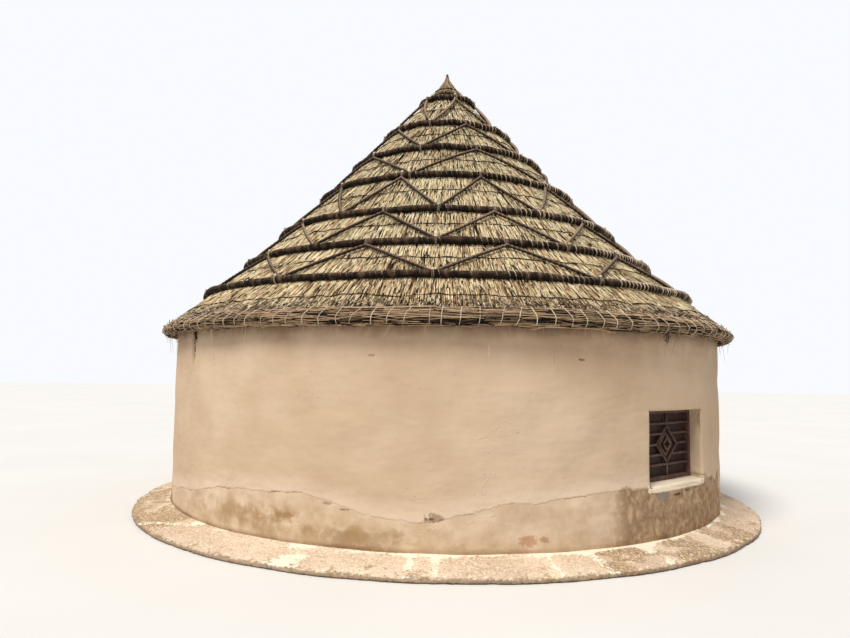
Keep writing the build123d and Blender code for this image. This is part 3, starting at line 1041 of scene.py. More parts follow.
@dataclass
class PlasterCoat(SubAssembly):
    """The hand-laid mud plaster on the wall's outside, which wraps into the windows and the doorway."""

    face_offset: float = 0.011
    back_offset: float = -0.004
    reveal_cover: float = 0.005
    relief_height: float = 0.0085
    edge_wave: float = 0.004
    # The spacing of the grid: degrees between columns and metres between rows
    column_spacing: float = 0.90
    row_spacing: float = 0.045
    window_columns: int = 12
    window_rows: int = 10
    # The upper coat's lower edge: azimuth and height, then round the back to the start again
    coat_edge: Pairs = (
        (-75, 0.32), (-60, 0.31), (-47, 0.378), (-38, 0.470), (-31, 0.492), (-26, 0.508), (-21, 0.524),
        (-15, 0.449), (-9, 0.369), (-4, 0.349), (0, 0.372), (5, 0.440), (9, 0.500), (13, 0.490),
        (20, 0.545), (32, 0.57), (48, 0.53), (60, 0.36), (85, 0.39), (120, 0.31), (160, 0.45),
        (200, 0.35), (235, 0.51), (260, 0.37),
    )
    # Damp at the wall's foot: from one azimuth to another, up to a height, and how strong
    damp_patches: Rows = (
        (27.0, 62.0, 0.565, 0.95), (-31.0, -3.0, 0.30, 0.42), (84.0, 112.0, 0.26, 0.55),
        (150.0, 174.0, 0.36, 0.75), (206.0, 240.0, 0.46, 0.85), (268.0, 300.0, 0.24, 0.5),
    )
    # Brown stains: azimuth, height, and how far they reach round and up
    stains: Rows = (
        (-16.0, 0.245, 5.0, 0.075), (-32.0, 0.28, 14.0, 0.16), (-6.5, 0.215, 4.5, 0.050),
        (-24.0, 0.330, 5.0, 0.050), (6.0, 0.165, 6.0, 0.030), (98.0, 0.40, 5.0, 0.08),
        (190.0, 0.27, 6.0, 0.07), (285.0, 0.33, 6.0, 0.06),
    )

    def __post_init__(self) -> None:
        """Lay out the openings and the grid."""
        sizes = self.sizes
        self.relief = Ripples(1, 34, 1.6)
        self.edge_relief = Ripples(2, 150, 4.0)
        rise = sizes.sill_back_height - sizes.sill_front_height
        window_ends = (sizes.sill_front_height, sizes.window_top, sizes.window_setback, rise)
        self.openings = [
            Opening(azimuth, sizes.window_width, *window_ends) for azimuth in sizes.window_azimuths
        ]
        door_ends = (sizes.plinth_top_height, sizes.door_head_height, sizes.door_setback, 0.0, True)
        self.openings.append(Opening(sizes.door_azimuth, sizes.doorway_width, *door_ends))
        window, door = self.openings[0], self.openings[-1]
        self.window_lines = EdgeLines(window.bottom, window.top, window.reveal, self.window_rows)
        # The door's sides run down to the plinth, so only its head has lines of its own
        self.door_lines = EdgeLines(door.top - 0.10, door.top, door.reveal, 1, low_edge=False)
        self.rows = self.spread_rows()

    def spread_rows(self) -> Array:
        """Spread the grid's rows up the wall, with the openings' own rows among them.

        Returns:
            The heights of the rows away from the openings.
        """
        floor, top = self.sizes.plinth_top_height, self.sizes.wall_top_height
        window, door = self.window_lines.spread, self.door_lines.spread
        stretches = ((floor, window[0], window), (window[-1], door[0], door), (door[-1], top, [top]))
        rows: list[float] = []
        for start, end, zone in stretches:
            steps = max(2, round((end - start) / self.row_spacing) + 1)
            first = start if not rows else rows.pop()
            rows += [*np.linspace(first, end, steps)[:-1], *zone]
        return np.array(rows)

    def zone_rows(self, lines: EdgeLines) -> Array:
        """The indices of the rows that are an opening's own lines."""
        first = int(np.argmin(np.abs(self.rows - lines.spread[0])))
        return np.arange(first, first + len(lines.spread))

    def columns(self) -> tuple[Array, list[tuple[Array, EdgeLines, Opening]]]:
        """Spread the grid's columns round the hut.

        Returns:
            The azimuths of the columns, and each opening's own columns.
        """
        ends = []
        for opening in sorted(self.openings, key=lambda opening: opening.azimuth):
            half = opening.width / 2
            lines = EdgeLines(-half, half, opening.reveal, self.window_columns)
            reach = np.degrees(np.arcsin(lines.spread / self.sizes.wall_radius))
            ends.append((opening.azimuth + reach, lines, opening))
        azimuths: list[float] = []
        zones = []
        for place, (turns, lines, opening) in enumerate(ends):
            zones.append((np.arange(len(azimuths), len(azimuths) + len(turns)), lines, opening))
            azimuths += turns.tolist()
            is_last = place + 1 == len(ends)
            following = ends[0][0][0] + 360 if is_last else ends[place + 1][0][0]
            steps = round((following - turns[-1]) / self.column_spacing)
            azimuths += np.linspace(turns[-1], following, steps + 1)[1:-1].tolist()
        return np.array(azimuths), zones

    def grid(self, face_offset: float, cover: float, relief: float) -> tuple[Array, Array]:
        """The coat's surface and which of its cells are there.

        A point of the face is at the wall's radius + face_offset + relief × tanh(ripples). At an
        opening it moves inwards along the opening's axis by the smaller depth of its row and column.

        Args:
            face_offset: how far the surface is outside the wall's face.
            cover: how far it is inside an opening's sides.
            relief: the height of the ripples.

        Returns:
            (rows, columns, 3) points, and (rows - 1, columns) flags of the cells.
        """
        azimuths, zones = self.columns()
        azimuth = np.tile(azimuths, (len(self.rows), 1))
        height = np.tile(self.rows[:, None], (1, len(azimuths)))
        depth = np.zeros_like(azimuth)
        axis = np.zeros_like(azimuth)
        keep = np.ones((len(self.rows) - 1, len(azimuths)), bool)
        radius = self.sizes.wall_radius + face_offset
        for own_columns, lines, opening in zones:
            row_lines = self.door_lines if opening.is_door else self.window_lines
            own_rows = self.zone_rows(row_lines)
            row_depth = np.zeros(len(self.rows))
            row_depth[own_rows] = row_lines.depth
            if opening.is_door:
                row_depth[: own_rows[0]] = opening.reveal
            row_height = self.rows.copy()
            row_height[own_rows] = row_lines.closed
            side = np.where(row_height < (opening.bottom + opening.top) / 2, 1.0, -1.0)
            row_height[row_depth > 0] += (side * cover)[row_depth > 0]
            low = -1.0 if opening.is_door else opening.bottom - lines.margin
            high = opening.top + lines.margin
            fade = lines.margin - lines.rounding
            row_share = smooth_step(row_height, low, low + fade) * smooth_step(row_height, high, high - fade)
            inset = np.where(lines.low_side, cover, -cover)
            side_azimuth = opening.azimuth + 90 * np.sign(lines.closed)
            edge_wave = self.edge_wave * self.edge_relief(side_azimuth, self.rows[:, None])
            edge_wave = edge_wave * (1 - lines.depth / opening.reveal)
            across = lines.closed + np.where(lines.depth > 0, inset + edge_wave, 0.0)
            closed_azimuth = opening.azimuth + np.degrees(np.arcsin(across / radius))
            share = row_share[:, None]
            azimuth[:, own_columns] = azimuths[own_columns] * (1 - share) + closed_azimuth * share
            beside = np.abs(lines.closed) - opening.width / 2
            column_share = smooth_step(beside, lines.margin, lines.rounding)
            depth[:, own_columns] = np.minimum(row_depth[:, None], lines.depth[None])
            sloped = opening.sill_rise * depth[:, own_columns] / opening.reveal * (side[:, None] > 0)
            closed_height = self.rows[:, None] * (1 - column_share) + row_height[:, None] * column_share
            height[:, own_columns] = closed_height + sloped
            axis[:, own_columns] = opening.azimuth
            deep_rows = row_depth >= opening.reveal
            deep_columns = lines.depth >= opening.reveal
            hole = (deep_rows[:-1] & deep_rows[1:])[:, None] & (deep_columns[:-1] & deep_columns[1:])[None]
            keep[:, own_columns[:-1]] &= ~hole
        face_share = np.clip(1 - depth / EdgeLines.rounding, 0, 1)
        radius = radius + relief * face_share * np.tanh(0.6 * self.relief(azimuth, height))
        return around(azimuth, radius, height) + depth[..., None] * around(axis, -1.0, 0.0), keep

    def marks(self, points: Array) -> dict[str, Array]:
        """Numbers for the plaster's material at each point.

        A patch is the product of smooth steps over its ends, a stain is a bell round its middle.

        Args:
            points: the coat's points.

        Returns:
            The height over the coat's edge, the damp, the brown stains and the lime under the sills.
        """
        x, y, height = points.reshape(-1, 3).T
        azimuth = np.degrees(np.arctan2(x, -y))
        edge_azimuths, edge_heights = np.array(self.coat_edge).T
        edge = np.interp(azimuth, edge_azimuths, edge_heights, period=360)
        damp = 0.10 + 0.07 * Ripples(5, 24, 0.6)(azimuth, height) * (height < edge)
        foot = smooth_step(height, 0.20, 0.12)
        damp = damp + 0.20 * foot * smooth_step(Ripples(6, 40)(azimuth), 0.0, 1.0)
        for start, end, top, strength in self.damp_patches:
            middle, half = (start + end) / 2, (end - start) / 2
            across = smooth_step(np.abs(apart(azimuth, middle)), half + 5.0, half - 5.0)
            above = height - top - 0.02 * Ripples(7, 80)(azimuth)
            damp = damp + strength * across * smooth_step(above, 0.03, -0.03)
        stain = np.zeros_like(height)
        for place, level, wide, tall in self.stains:
            stain = stain + bell(apart(azimuth, place), 0.0, wide) * bell(height, level, tall)
        lime = np.zeros_like(height)
        for opening in self.openings[:-1]:
            across = smooth_step(np.abs(apart(azimuth, opening.azimuth)), 8.9, 8.1)
            level = smooth_step(np.abs(height - opening.bottom + 0.018), 0.050, 0.020)
            lime = np.maximum(lime, across * level)
        return {"coat": height - edge, "damp": damp, "stain": stain, "lime": lime}

    def build(self) -> None:
        """Make the coat."""
        front, keep = self.grid(self.face_offset, self.reveal_cover, self.relief_height)
        back, _ = self.grid(self.back_offset, -self.reveal_cover, 0.0)
        surface = Surface()
        surface.shell(front, back, keep)
        numbers = self.marks(np.concatenate([front.reshape(-1, 3), back.reshape(-1, 3)]))
        surface.build("plaster_coat", Slot.PLASTER, self.finishes.plaster, numbers=numbers)


@dataclass
class RoughPlinth(SubAssembly):
    """The worn cement plinth, with a rough low edge and a gritty apron."""

    columns: int = 640
    edge_rounding: float = 0.016
    # Lime that has run over the apron: azimuth and half width in degrees
    splashes: Pairs = (
        (-4.2, 0.5), (-0.8, 0.7), (14.5, 0.7), (-20.0, 2.4), (21.0, 1.0), (31.0, 1.5),
        (120.0, 2.0), (214.0, 2.6),
    )
    # Where the apron is worn to bare brown cement
    worn_places: Pairs = (
        (24.0, 6.0), (38.0, 5.0), (52.0, 6.0), (-52.0, 5.0), (-68.0, 14.0),
        (150.0, 12.0), (250.0, 10.0),
    )

    def profile(self) -> tuple[Array, Array]:
        """The plinth's section from its underside outwards, up the edge and in over the apron.

        Returns:
            The radii and the heights of the section's points.
        """
        edge, top = self.sizes.plinth_edge_height, self.sizes.plinth_top_height
        radius, wall, rounding = self.sizes.plinth_radius, self.sizes.wall_radius, self.edge_rounding
        bend = np.linspace(0, np.pi / 2, 5)
        apron = np.linspace(radius - 0.025, wall - 0.02, 15)
        radii = [0.3, radius - 0.06, radius - 0.012, radius - 0.004, radius - 0.001]
        heights = [0.0, 0.0, 0.0, 0.012, 0.026]
        radii += [*(radius - rounding * (1 - np.cos(bend))), *apron, wall - 0.25]
        slope = (top - edge) / (radius - wall)
        heights += [*(edge - rounding * (1 - np.sin(bend))), *(edge + slope * (radius - apron)), top]
        return np.array(radii)[:, None], np.minimum(heights, top)[:, None]

    def build(self) -> None:
        """Make the plinth: its section turned round the hut, with ripples and chips in its edge."""
        azimuth = all_round(self.columns)[None]
        radii, heights = self.profile()
        radius, wall = self.sizes.plinth_radius, self.sizes.wall_radius
        outer = smooth_step(radii, radius - 0.10, radius - 0.01)
        lifted = smooth_step(heights, 0.0, 0.03)
        worn = np.tanh(Ripples(11, 26, 0.5)(azimuth, heights))
        chips = np.abs(Ripples(12, 230, 4.0, 60)(azimuth, heights))
        new_radii = radii - outer * (0.008 + 0.006 * worn + 0.006 * chips)
        apron = smooth_step(radii, wall + 0.01, wall + 0.08) * lifted
        relief = 0.004 * Ripples(13, 60)(azimuth)
        relief = relief + 0.0025 * Ripples(14, 210, 0.0, 50)(azimuth + 40 * radii)
        new_heights = heights + apron * (relief - 0.004) - outer * lifted * 0.007 * chips
        rings = around(azimuth, new_radii, np.maximum(new_heights, 0.0))
        surface = Surface()
        surface.turned(rings)
        numbers = self.marks(rings)
        cement = self.finishes.cement
        surface.build("rough_plinth", Slot.CEMENT, cement, replaces=("plinth",), numbers=numbers)

    def marks(self, rings: Array) -> dict[str, Array]:
        """Where lime lies on the apron, in a line at the wall's foot and in splashes, and the wear.

        Args:
            rings: the plinth's points.

        Returns:
            The lime and the wear at each point.
        """
        x, y, _ = rings.reshape(-1, 3).T
        azimuth = np.degrees(np.arctan2(x, -y))
        radius = np.hypot(x, y)
        past_wall = radius - self.sizes.wall_radius
        foot = 0.28 + 0.5 * bell(apart(azimuth, 32), 0.0, 40.0)
        lime = foot * smooth_step(past_wall, 0.085, 0.035)
        for place, width in self.splashes:
            lime = lime + 0.6 * bell(apart(azimuth, place), 0.0, width)
        lime = lime + 0.20 * Ripples(15, 70)(azimuth + 30 * radius)
        wear = np.full(len(radius), 0.25)
        for place, width in self.worn_places:
            wear = wear + bell(apart(azimuth, place), 0.0, width)
        return {"lime": lime, "wear": wear}


@dataclass
class StrawBed(SubAssembly):
    """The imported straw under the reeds: the thatch's own body, a little inside its outer surface."""

    columns: int = 300
    depth: float = 0.014
    ridge_height: float = 0.003

    def build(self) -> None:
        """Make the bed: a profile turned round the hut, ridged down the slope by ripples."""
        sizes = self.sizes
        azimuth = all_round(self.columns)[None]
        inner = np.array([0.02, 0.6, 1.2, 1.8, 2.4, 2.9])
        end_radius, end_height = THATCH.cut_end()
        below = around(azimuth, inner[:, None], THATCH.underside(inner)[:, None])
        corner = around(azimuth, end_radius, end_height)
        outer = np.linspace(sizes.eave_radius - 0.004, sizes.crown_radius, 46)[:, None]
        ridges = self.ridge_height * Ripples(20, 140, 0.0, 40)(azimuth) * smooth_step(outer, 0.2, 1.2)
        slope_face = THATCH.place(azimuth, outer, ridges - self.depth)
        top = around(azimuth, np.array([[0.12], [0.02]]), float(THATCH.height(sizes.crown_radius)))
        surface = Surface()
        surface.turned(np.concatenate([below, corner, slope_face, top]))
        surface.build("straw_bed", Slot.THATCH, self.finishes.straw_bed, replaces=("thatch",))


@dataclass(frozen=True)
class ReedLayer:
    """One layer of reeds: how many, where their thin upper ends lie, and their sizes."""

    count: int
    inner: float
    outer: float
    lengths: tuple[float, float]
    radii: tuple[float, float]
    # How many degrees they stray from the slope, how far their butts stand off it, and how pale they are
    spread: float
    lift: tuple[float, float]
    shade: float = 0.0


@dataclass
class ReedCoat(SubAssembly):
    """The thatch's reeds: thousands of tapered stalks that run down the slope to a cut butt."""

    thin_end_depth: float = 0.011
    dark_share: float = 0.13

    def __post_init__(self) -> None:
        """Start the draws."""
        self.rng = np.random.default_rng(SEED + 21)
        self.patches = Ripples(22, 60, 2.5)

    def stalks(self, surface: Surface, layer: ReedLayer) -> None:
        """Add one layer.

        A stalk is a long pyramid: a point at its upper end, and three corners round its butt at
        butt + radius × (cos a × outward + sin a × across), for a at thirds of a full turn.

        Args:
            surface: what the stalks are added to.
            layer: the layer's sizes.
        """
        rng, count = self.rng, layer.count
        radius = np.sqrt(rng.uniform(layer.inner**2, layer.outer**2, count))
        azimuth = rng.uniform(0, 360, count)
        length = rng.uniform(*layer.lengths, count)
        turn = np.radians(rng.normal(0, layer.spread, count))
        butt_radius = radius + length * np.cos(turn) * np.cos(THATCH.slope(radius))
        butt_azimuth = azimuth + np.degrees(length * np.sin(turn) / (radius + 0.5 * length))
        tip = THATCH.place(azimuth, radius, -self.thin_end_depth + 0 * radius)
        butt = THATCH.place(butt_azimuth, butt_radius, rng.uniform(*layer.lift, count))
        outward = THATCH.outward(butt_azimuth, butt_radius)
        across = unit(np.cross(butt - tip, outward))
        corner_turn = (2 * np.pi * np.arange(3) / 3 + rng.uniform(0, 2 * np.pi, (count, 1)))[..., None]
        thick = rng.uniform(*layer.radii, (count, 1, 1))
        corners = butt[:, None] + thick * (
            np.cos(corner_turn) * outward[:, None] + np.sin(corner_turn) * across[:, None]
        )
        points = np.concatenate([tip[:, None], corners], axis=1)
        index = np.arange(4 * count).reshape(count, 4)
        faces = np.concatenate([index[:, [0, 2, 1]], index[:, [0, 3, 2]], index[:, [0, 1, 3]], index[:, 1:]])
        tone = 0.70 + 0.25 * rng.normal(size=count) + 0.05 * self.patches(azimuth, radius) + layer.shade
        tone = np.where(rng.random(count) < self.dark_share, 0.10 + 0.08 * rng.normal(size=count), tone)
        tones = np.stack([tone - 0.16, tone + 0.04, tone + 0.04, tone + 0.04], axis=1)
        surface.add(points, [faces], tones.ravel())

    def build(self) -> None:
        """Make the reeds in three pieces up the roof, and the ragged cut ends over the eave's roll."""
        sizes = self.sizes
        low, high, eave = sizes.lower_break_radius, sizes.upper_break_radius, sizes.eave_radius
        thin, fine = (0.0042, 0.0075), (0.0028, 0.0045)
        flat, raised = (-0.008, 0.006), (0.002, 0.016)
        coats = {
            "lower_reeds": [
                ReedLayer(27000, low - 0.1, eave - 0.20, (0.18, 0.42), thin, 2.6, flat),
                ReedLayer(1800, low - 0.1, eave - 0.26, (0.14, 0.30), fine, 10.0, raised),
            ],
            "middle_reeds": [
                ReedLayer(28000, high - 0.1, low - 0.06, (0.18, 0.40), thin, 2.6, flat, 0.13),
                ReedLayer(1500, high - 0.1, low - 0.06, (0.14, 0.30), fine, 10.0, raised, 0.11),
            ],
            "upper_reeds": [
                ReedLayer(21000, 0.17, high - 0.05, (0.16, 0.34), (0.0034, 0.0060), 2.6, flat, 0.18),
                ReedLayer(900, 0.25, high - 0.05, (0.12, 0.26), fine, 9.0, raised, 0.13),
            ],
        }
        for name, layers in coats.items():
            makers = [partial(self.stalks, layer=layer) for layer in layers]
            assemble(name, Slot.THATCH, self.finishes.reed, *makers)
        sparse, ragged = (0.003, 0.0065), (-0.004, 0.016)
        ends = ReedLayer(9000, eave - 0.16, eave - 0.05, (0.07, 0.14), sparse, 20.0, ragged, -0.06)
        maker = partial(self.stalks, layer=ends)
        assemble("cut_ends", Slot.THATCH, self.finishes.fringe, maker, smooth=False)


@dataclass(frozen=True)
class RingLine:
    """The middle line of one binding ring, which leans with the thatch that it lies on."""

    radius: float
    height: float
    slope: float

    def facing(self, azimuth: Array, angle: Array) -> Array:
        """Directions round the ring's section: cos angle × outward + sin angle × downhill.

        Args:
            azimuth: degrees round the hut.
            angle: radians round the section.

        Returns:
            The directions.
        """
        outward = around(azimuth, np.sin(self.slope), np.cos(self.slope))
        downhill = around(azimuth, np.cos(self.slope), -np.sin(self.slope))
        return np.cos(angle)[..., None] * outward + np.sin(angle)[..., None] * downhill


@dataclass
class Bindings(SubAssembly):
    """The grass rings, the zigzag ropes between them, their lashings and the dark stitching."""

    # The cord wound round each ring: a turn's length, and how often the ring and the cord are sampled
    wrap_pitch: float = 0.054
    ring_samples: int = 4
    winding_samples: int = 7
    ring_sides: int = 8
    sag: float = 0.0045
    # The zigzag ropes: a full twist's length, and how much thicker they are than their CAD solids
    twist_length: float = 0.052
    rope_swell: float = 1.22
    rope_sides: int = 7
    rope_clearance: float = 0.006
    loop_radius: float = 0.0034
    knot_radius: float = 0.0115
    knot_half_length: float = 0.016
    stitch_radius: float = 0.0050
    hanging_radius: float = 0.0055
    # The cords that hang on the slope: their upper and lower ends' azimuths, and the rings between
    hanging_runs: tuple[tuple[int, int, int, int], ...] = (
        (-17, -23, 5, 4), (-23, -28, 4, 3), (-28, -31, 3, 2), (11, 17, 5, 4), (16, 20, 3, 2),
        (140, 134, 5, 4), (200, 206, 5, 4), (262, 258, 4, 3),
    )

    def __post_init__(self) -> None:
        """Note where each ring's middle line is."""
        sizes = self.sizes
        self.rng = np.random.default_rng(SEED + 31)
        self.lines = []
        for seat in sizes.ring_seat_radii:
            slope = float(THATCH.slope(seat))
            lift = sizes.ring_radius
            height = float(THATCH.height(seat)) + lift * np.cos(slope)
            self.lines.append(RingLine(seat + lift * np.sin(slope), height, slope))

    def ring(self, place: int, grass: Surface, cord: Surface) -> None:
        """One ring: a grass tube that swells between the turns of a cord wound round it.

        The tube's radius is ring radius × (0.90 + 0.16 × |sin half groove|), where the groove is
        turns × azimuth - the angle round the section, and the cord runs where it is 0.

        Args:
            place: which ring, from the eave.
            grass: what the tube is added to.
            cord: what the winding is added to.
        """
        line = self.lines[place]
        turns = round(2 * np.pi * line.radius / self.wrap_pitch)
        azimuth = all_round(turns * self.ring_samples)
        sag = Ripples(40 + place, 18)
        swell = Ripples(50 + place, 60)
        path = around(azimuth, line.radius, line.height + self.sag * sag(azimuth))[None]
        angle = 2 * np.pi * np.arange(self.ring_sides) / self.ring_sides
        groove = turns * np.radians(azimuth)[:, None] + angle[None]
        radii = self.sizes.ring_radius * (0.90 + 0.16 * np.abs(np.sin(groove / 2)))
        radii = radii * (1 + 0.05 * swell(azimuth))[:, None]
        # Painted light: the side that faces the sky is painted paler and the underside darker
        painted_light = 0.12 * np.cos(angle) - 0.26 * np.sin(angle)
        tone = 0.34 + 0.13 * Ripples(60 + place, 200)(azimuth)[:, None] + painted_light
        outward = line.facing(azimuth, 0 * azimuth)[None]
        grass.tubes(path, outward, radii[None], self.ring_sides, True, tone[None])
        wound = all_round(turns * self.winding_samples)
        facing = line.facing(wound, turns * np.radians(wound))
        # Painted light: on the sunny side of the hut the cord is drawn thicker and painted paler, most where
        # its turns face up
        sunny = smooth_step(np.sin(np.radians(wound)), -0.1, 0.8)
        thick = (0.94 + 0.08 * sunny) * self.sizes.ring_radius * (1 + 0.05 * swell(wound))
        coil = around(wound, line.radius, line.height + self.sag * sag(wound)) + thick[:, None] * facing
        tones = self.rng.normal(0.30, 0.24, turns).clip(0, 1).repeat(self.winding_samples)
        painted_light = sunny * (0.15 + 0.40 * np.maximum(facing[:, 2], 0))
        cord.tubes(coil[None], facing[None], 0.0034 + 0.0050 * sunny[None], 4, True, tones + painted_light)

    def ropes(self, course: int, surface: Surface) -> None:
        """The zigzag in one course: each leg runs down from a ring's crest to the top of the next.

        The radius goes evenly from the upper turn to the lower one, less 4 × share × (1 - share) of
        the amount that a taut line lies inside it. It leaves the thatch a little, evenly less towards
        its lower end, which runs in behind the lower ring's crest.

        Args:
            course: which course, from the eave.
            surface: what the ropes are added to.
        """
        sizes = self.sizes
        zigzags, start = sizes.zigzags[course], sizes.zigzag_starts[course]
        low_seat, high_seat = sizes.ring_seat_radii[course], sizes.ring_seat_radii[course + 1]
        slope = THATCH.slope((low_seat + high_seat) / 2)
        thick = sizes.rope_radius * self.rope_swell
        reach = sizes.ring_radius + thick
        low = low_seat - 0.84 * reach * np.cos(slope)
        high = high_seat + 0.95 * reach * np.cos(slope)
        leg_turn = 180 / zigzags
        upper = np.repeat(start + 2 * leg_turn * np.arange(zigzags), 2)[:, None]
        turn = np.tile([leg_turn, -leg_turn], zigzags)[:, None]
        length = np.hypot((low - high) / np.cos(slope), np.radians(leg_turn) * (low + high) / 2)
        steps = round(length / 0.0135)
        share = np.linspace(0, 1, steps)[None]
        slack = 0.10 * np.sin(np.pi * share) * self.rng.normal(0, 1, (2 * zigzags, 1))
        azimuth = upper + turn * share + slack
        taut = (low + high) / 2 * (1 - np.cos(np.radians(leg_turn / 2) * np.cos(slope)))
        radius = high + (low - high) * share - 4 * taut * share * (1 - share) + 0 * azimuth
        lift = thick + self.rope_clearance + sizes.ring_radius * (0.58 - 0.40 * share)
        angle = 2 * np.pi * np.arange(self.rope_sides) / self.rope_sides
        twist = 2 * np.pi * share * length / self.twist_length
        radii = thick * (1.0 + 0.17 * np.cos(twist[..., None] - angle)) + np.zeros((2 * zigzags, 1, 1))
        # Painted light: each rope's upper side is painted paler and its lower side darker
        painted_light = 0.10 * np.cos(angle) - 0.34 * np.sign(turn)[..., None] * np.sin(angle)
        worn = 0.08 * self.rng.normal(0, 1, (2 * zigzags, 1, 1))
        tone = 0.36 + 0.12 * np.cos(twist)[..., None] + painted_light + worn
        paths, outward = THATCH.place(azimuth, radius, lift), THATCH.outward(azimuth, radius)
        surface.tubes(paths, outward, radii, self.rope_sides, tone=tone)

    def turns_on(self, place: int) -> Array:
        """Where zigzags turn on one ring.

        Args:
            place: which ring, from the eave.

        Returns:
            The azimuths of the upper turns below it and of the lower turns above it.
        """
        sizes = self.sizes
        azimuths = []
        if place > 0:
            count, start = sizes.zigzags[place - 1], sizes.zigzag_starts[place - 1]
            azimuths.append(start + 360 / count * np.arange(count))
        if place < len(sizes.zigzags):
            count, start = sizes.zigzags[place], sizes.zigzag_starts[place]
            azimuths.append(start + 360 / count * (np.arange(count) + 0.5))
        return np.concatenate(azimuths)

    def lashings(self, cord: Surface, knots: Surface) -> None:
        """Cord round each ring at every turn of a zigzag: two loops, and a small pale knot on them.

        A loop is the ring's middle line + (ring radius + cord) × a direction that turns round the
        section. A knot is a short tube whose radius is that of an ellipse.

        Args:
            cord: what the loops are added to.
            knots: what the knots are added to.
        """
        angle = np.linspace(0, 2 * np.pi, 14, endpoint=False)[None]
        along = np.linspace(-1, 1, 7)[None]
        for place, line in enumerate(self.lines):
            azimuth = self.turns_on(place)
            spacing = np.degrees(0.006 / line.radius)
            middle = np.concatenate([azimuth - spacing, azimuth + spacing])[:, None]
            lean = self.rng.normal(0, 0.3, middle.shape)
            turned = middle + np.degrees(0.008 / line.radius) * np.sin(angle) * lean
            facing = line.facing(turned, angle + 0 * turned)
            path = around(turned, line.radius, line.height) + (self.sizes.ring_radius + 0.003) * facing
            tone = 0.45 + 0.15 * self.rng.normal(size=(len(middle), 1))
            cord.tubes(path, facing, np.full(path.shape[:2], self.loop_radius), 4, True, tone)
            knot_angle = self.rng.uniform(-0.35, 0.15, azimuth.shape)[:, None]
            run = azimuth[:, None] + np.degrees(self.knot_half_length / line.radius) * along
            facing = line.facing(run, knot_angle + 0 * run)
            path = around(run, line.radius, line.height) + (self.sizes.ring_radius + 0.011) * facing
            swell = self.knot_radius * np.sqrt(np.maximum(1 - along**2, 0.03)) + 0 * run
            tone = 0.9 + 0.15 * self.rng.normal(size=(len(azimuth), 1))
            knots.tubes(path, facing, swell, 6, tone=tone)

    def stitching(self, surface: Surface) -> None:
        """The thin dark cord that holds each course down, a little above its middle.

        Args:
            surface: what it is added to.
        """
        seats = self.sizes.ring_seat_radii
        radii = [low + 0.58 * (high - low) for low, high in zip(seats, seats[1:])]
        for place, radius in enumerate([self.sizes.eave_radius - 0.125, *radii]):
            steps = max(64, round(2 * np.pi * radius / 0.05))
            azimuth = all_round(steps)
            wave = Ripples(80 + place, 70)(azimuth)
            sunk = 0.011 + 0.004 * Ripples(85 + place, 120)(azimuth)
            path = THATCH.place(azimuth, radius + 0.007 * wave, sunk)[None]
            outward = THATCH.outward(azimuth, np.full(steps, radius))[None]
            thick = self.stitch_radius + 0.0011 * Ripples(90 + place, 90)(azimuth)
            surface.tubes(path, outward, thick[None], 5, True, 0.3)

    def hanging_cords(self, surface: Surface) -> None:
        """A few thin dark cords that run down the slope between the upper rings.

        Args:
            surface: what they are added to.
        """
        seats = self.sizes.ring_seat_radii
        share = np.linspace(0, 1, 16)
        for start, end, upper, lower in self.hanging_runs:
            azimuth = start + (end - start) * share + 0.7 * np.sin(np.pi * share)
            radius = seats[upper] + (seats[lower] - seats[upper]) * share
            path = THATCH.place(azimuth, radius, 0.017)[None]
            radii = np.full((1, len(share)), self.hanging_radius)
            surface.tubes(path, THATCH.outward(azimuth, radius)[None], radii, 5, tone=0.35)

    def build(self) -> None:
        """Make every binding."""
        grass, cord, knots = Surface(), Surface(), Surface()
        for place in range(len(self.lines)):
            self.ring(place, grass, cord)
        rings = tuple(f"binding_ring_{place + 1}" for place in range(len(self.lines)))
        grass.build("grass_rings", Slot.GRASS_ROPE, self.finishes.grass, replaces=rings)
        self.lashings(cord, knots)
        cord.build("ring_winding", Slot.GRASS_ROPE, self.finishes.winding_cord)
        knots.build("pale_knots", Slot.STRAW, self.finishes.pale_cord)
        ropes = [partial(self.ropes, course) for course in range(len(self.sizes.zigzags))]
        nodes = tuple(f"zigzag_rope_{course + 1}" for course in range(len(ropes)))
        assemble("twisted_zigzags", Slot.GRASS_ROPE, self.finishes.rope, *ropes, replaces=nodes)
        cords = (self.stitching, self.hanging_cords)
        assemble("dark_stitching", Slot.GRASS_ROPE, self.finishes.dark_cord, *cords)


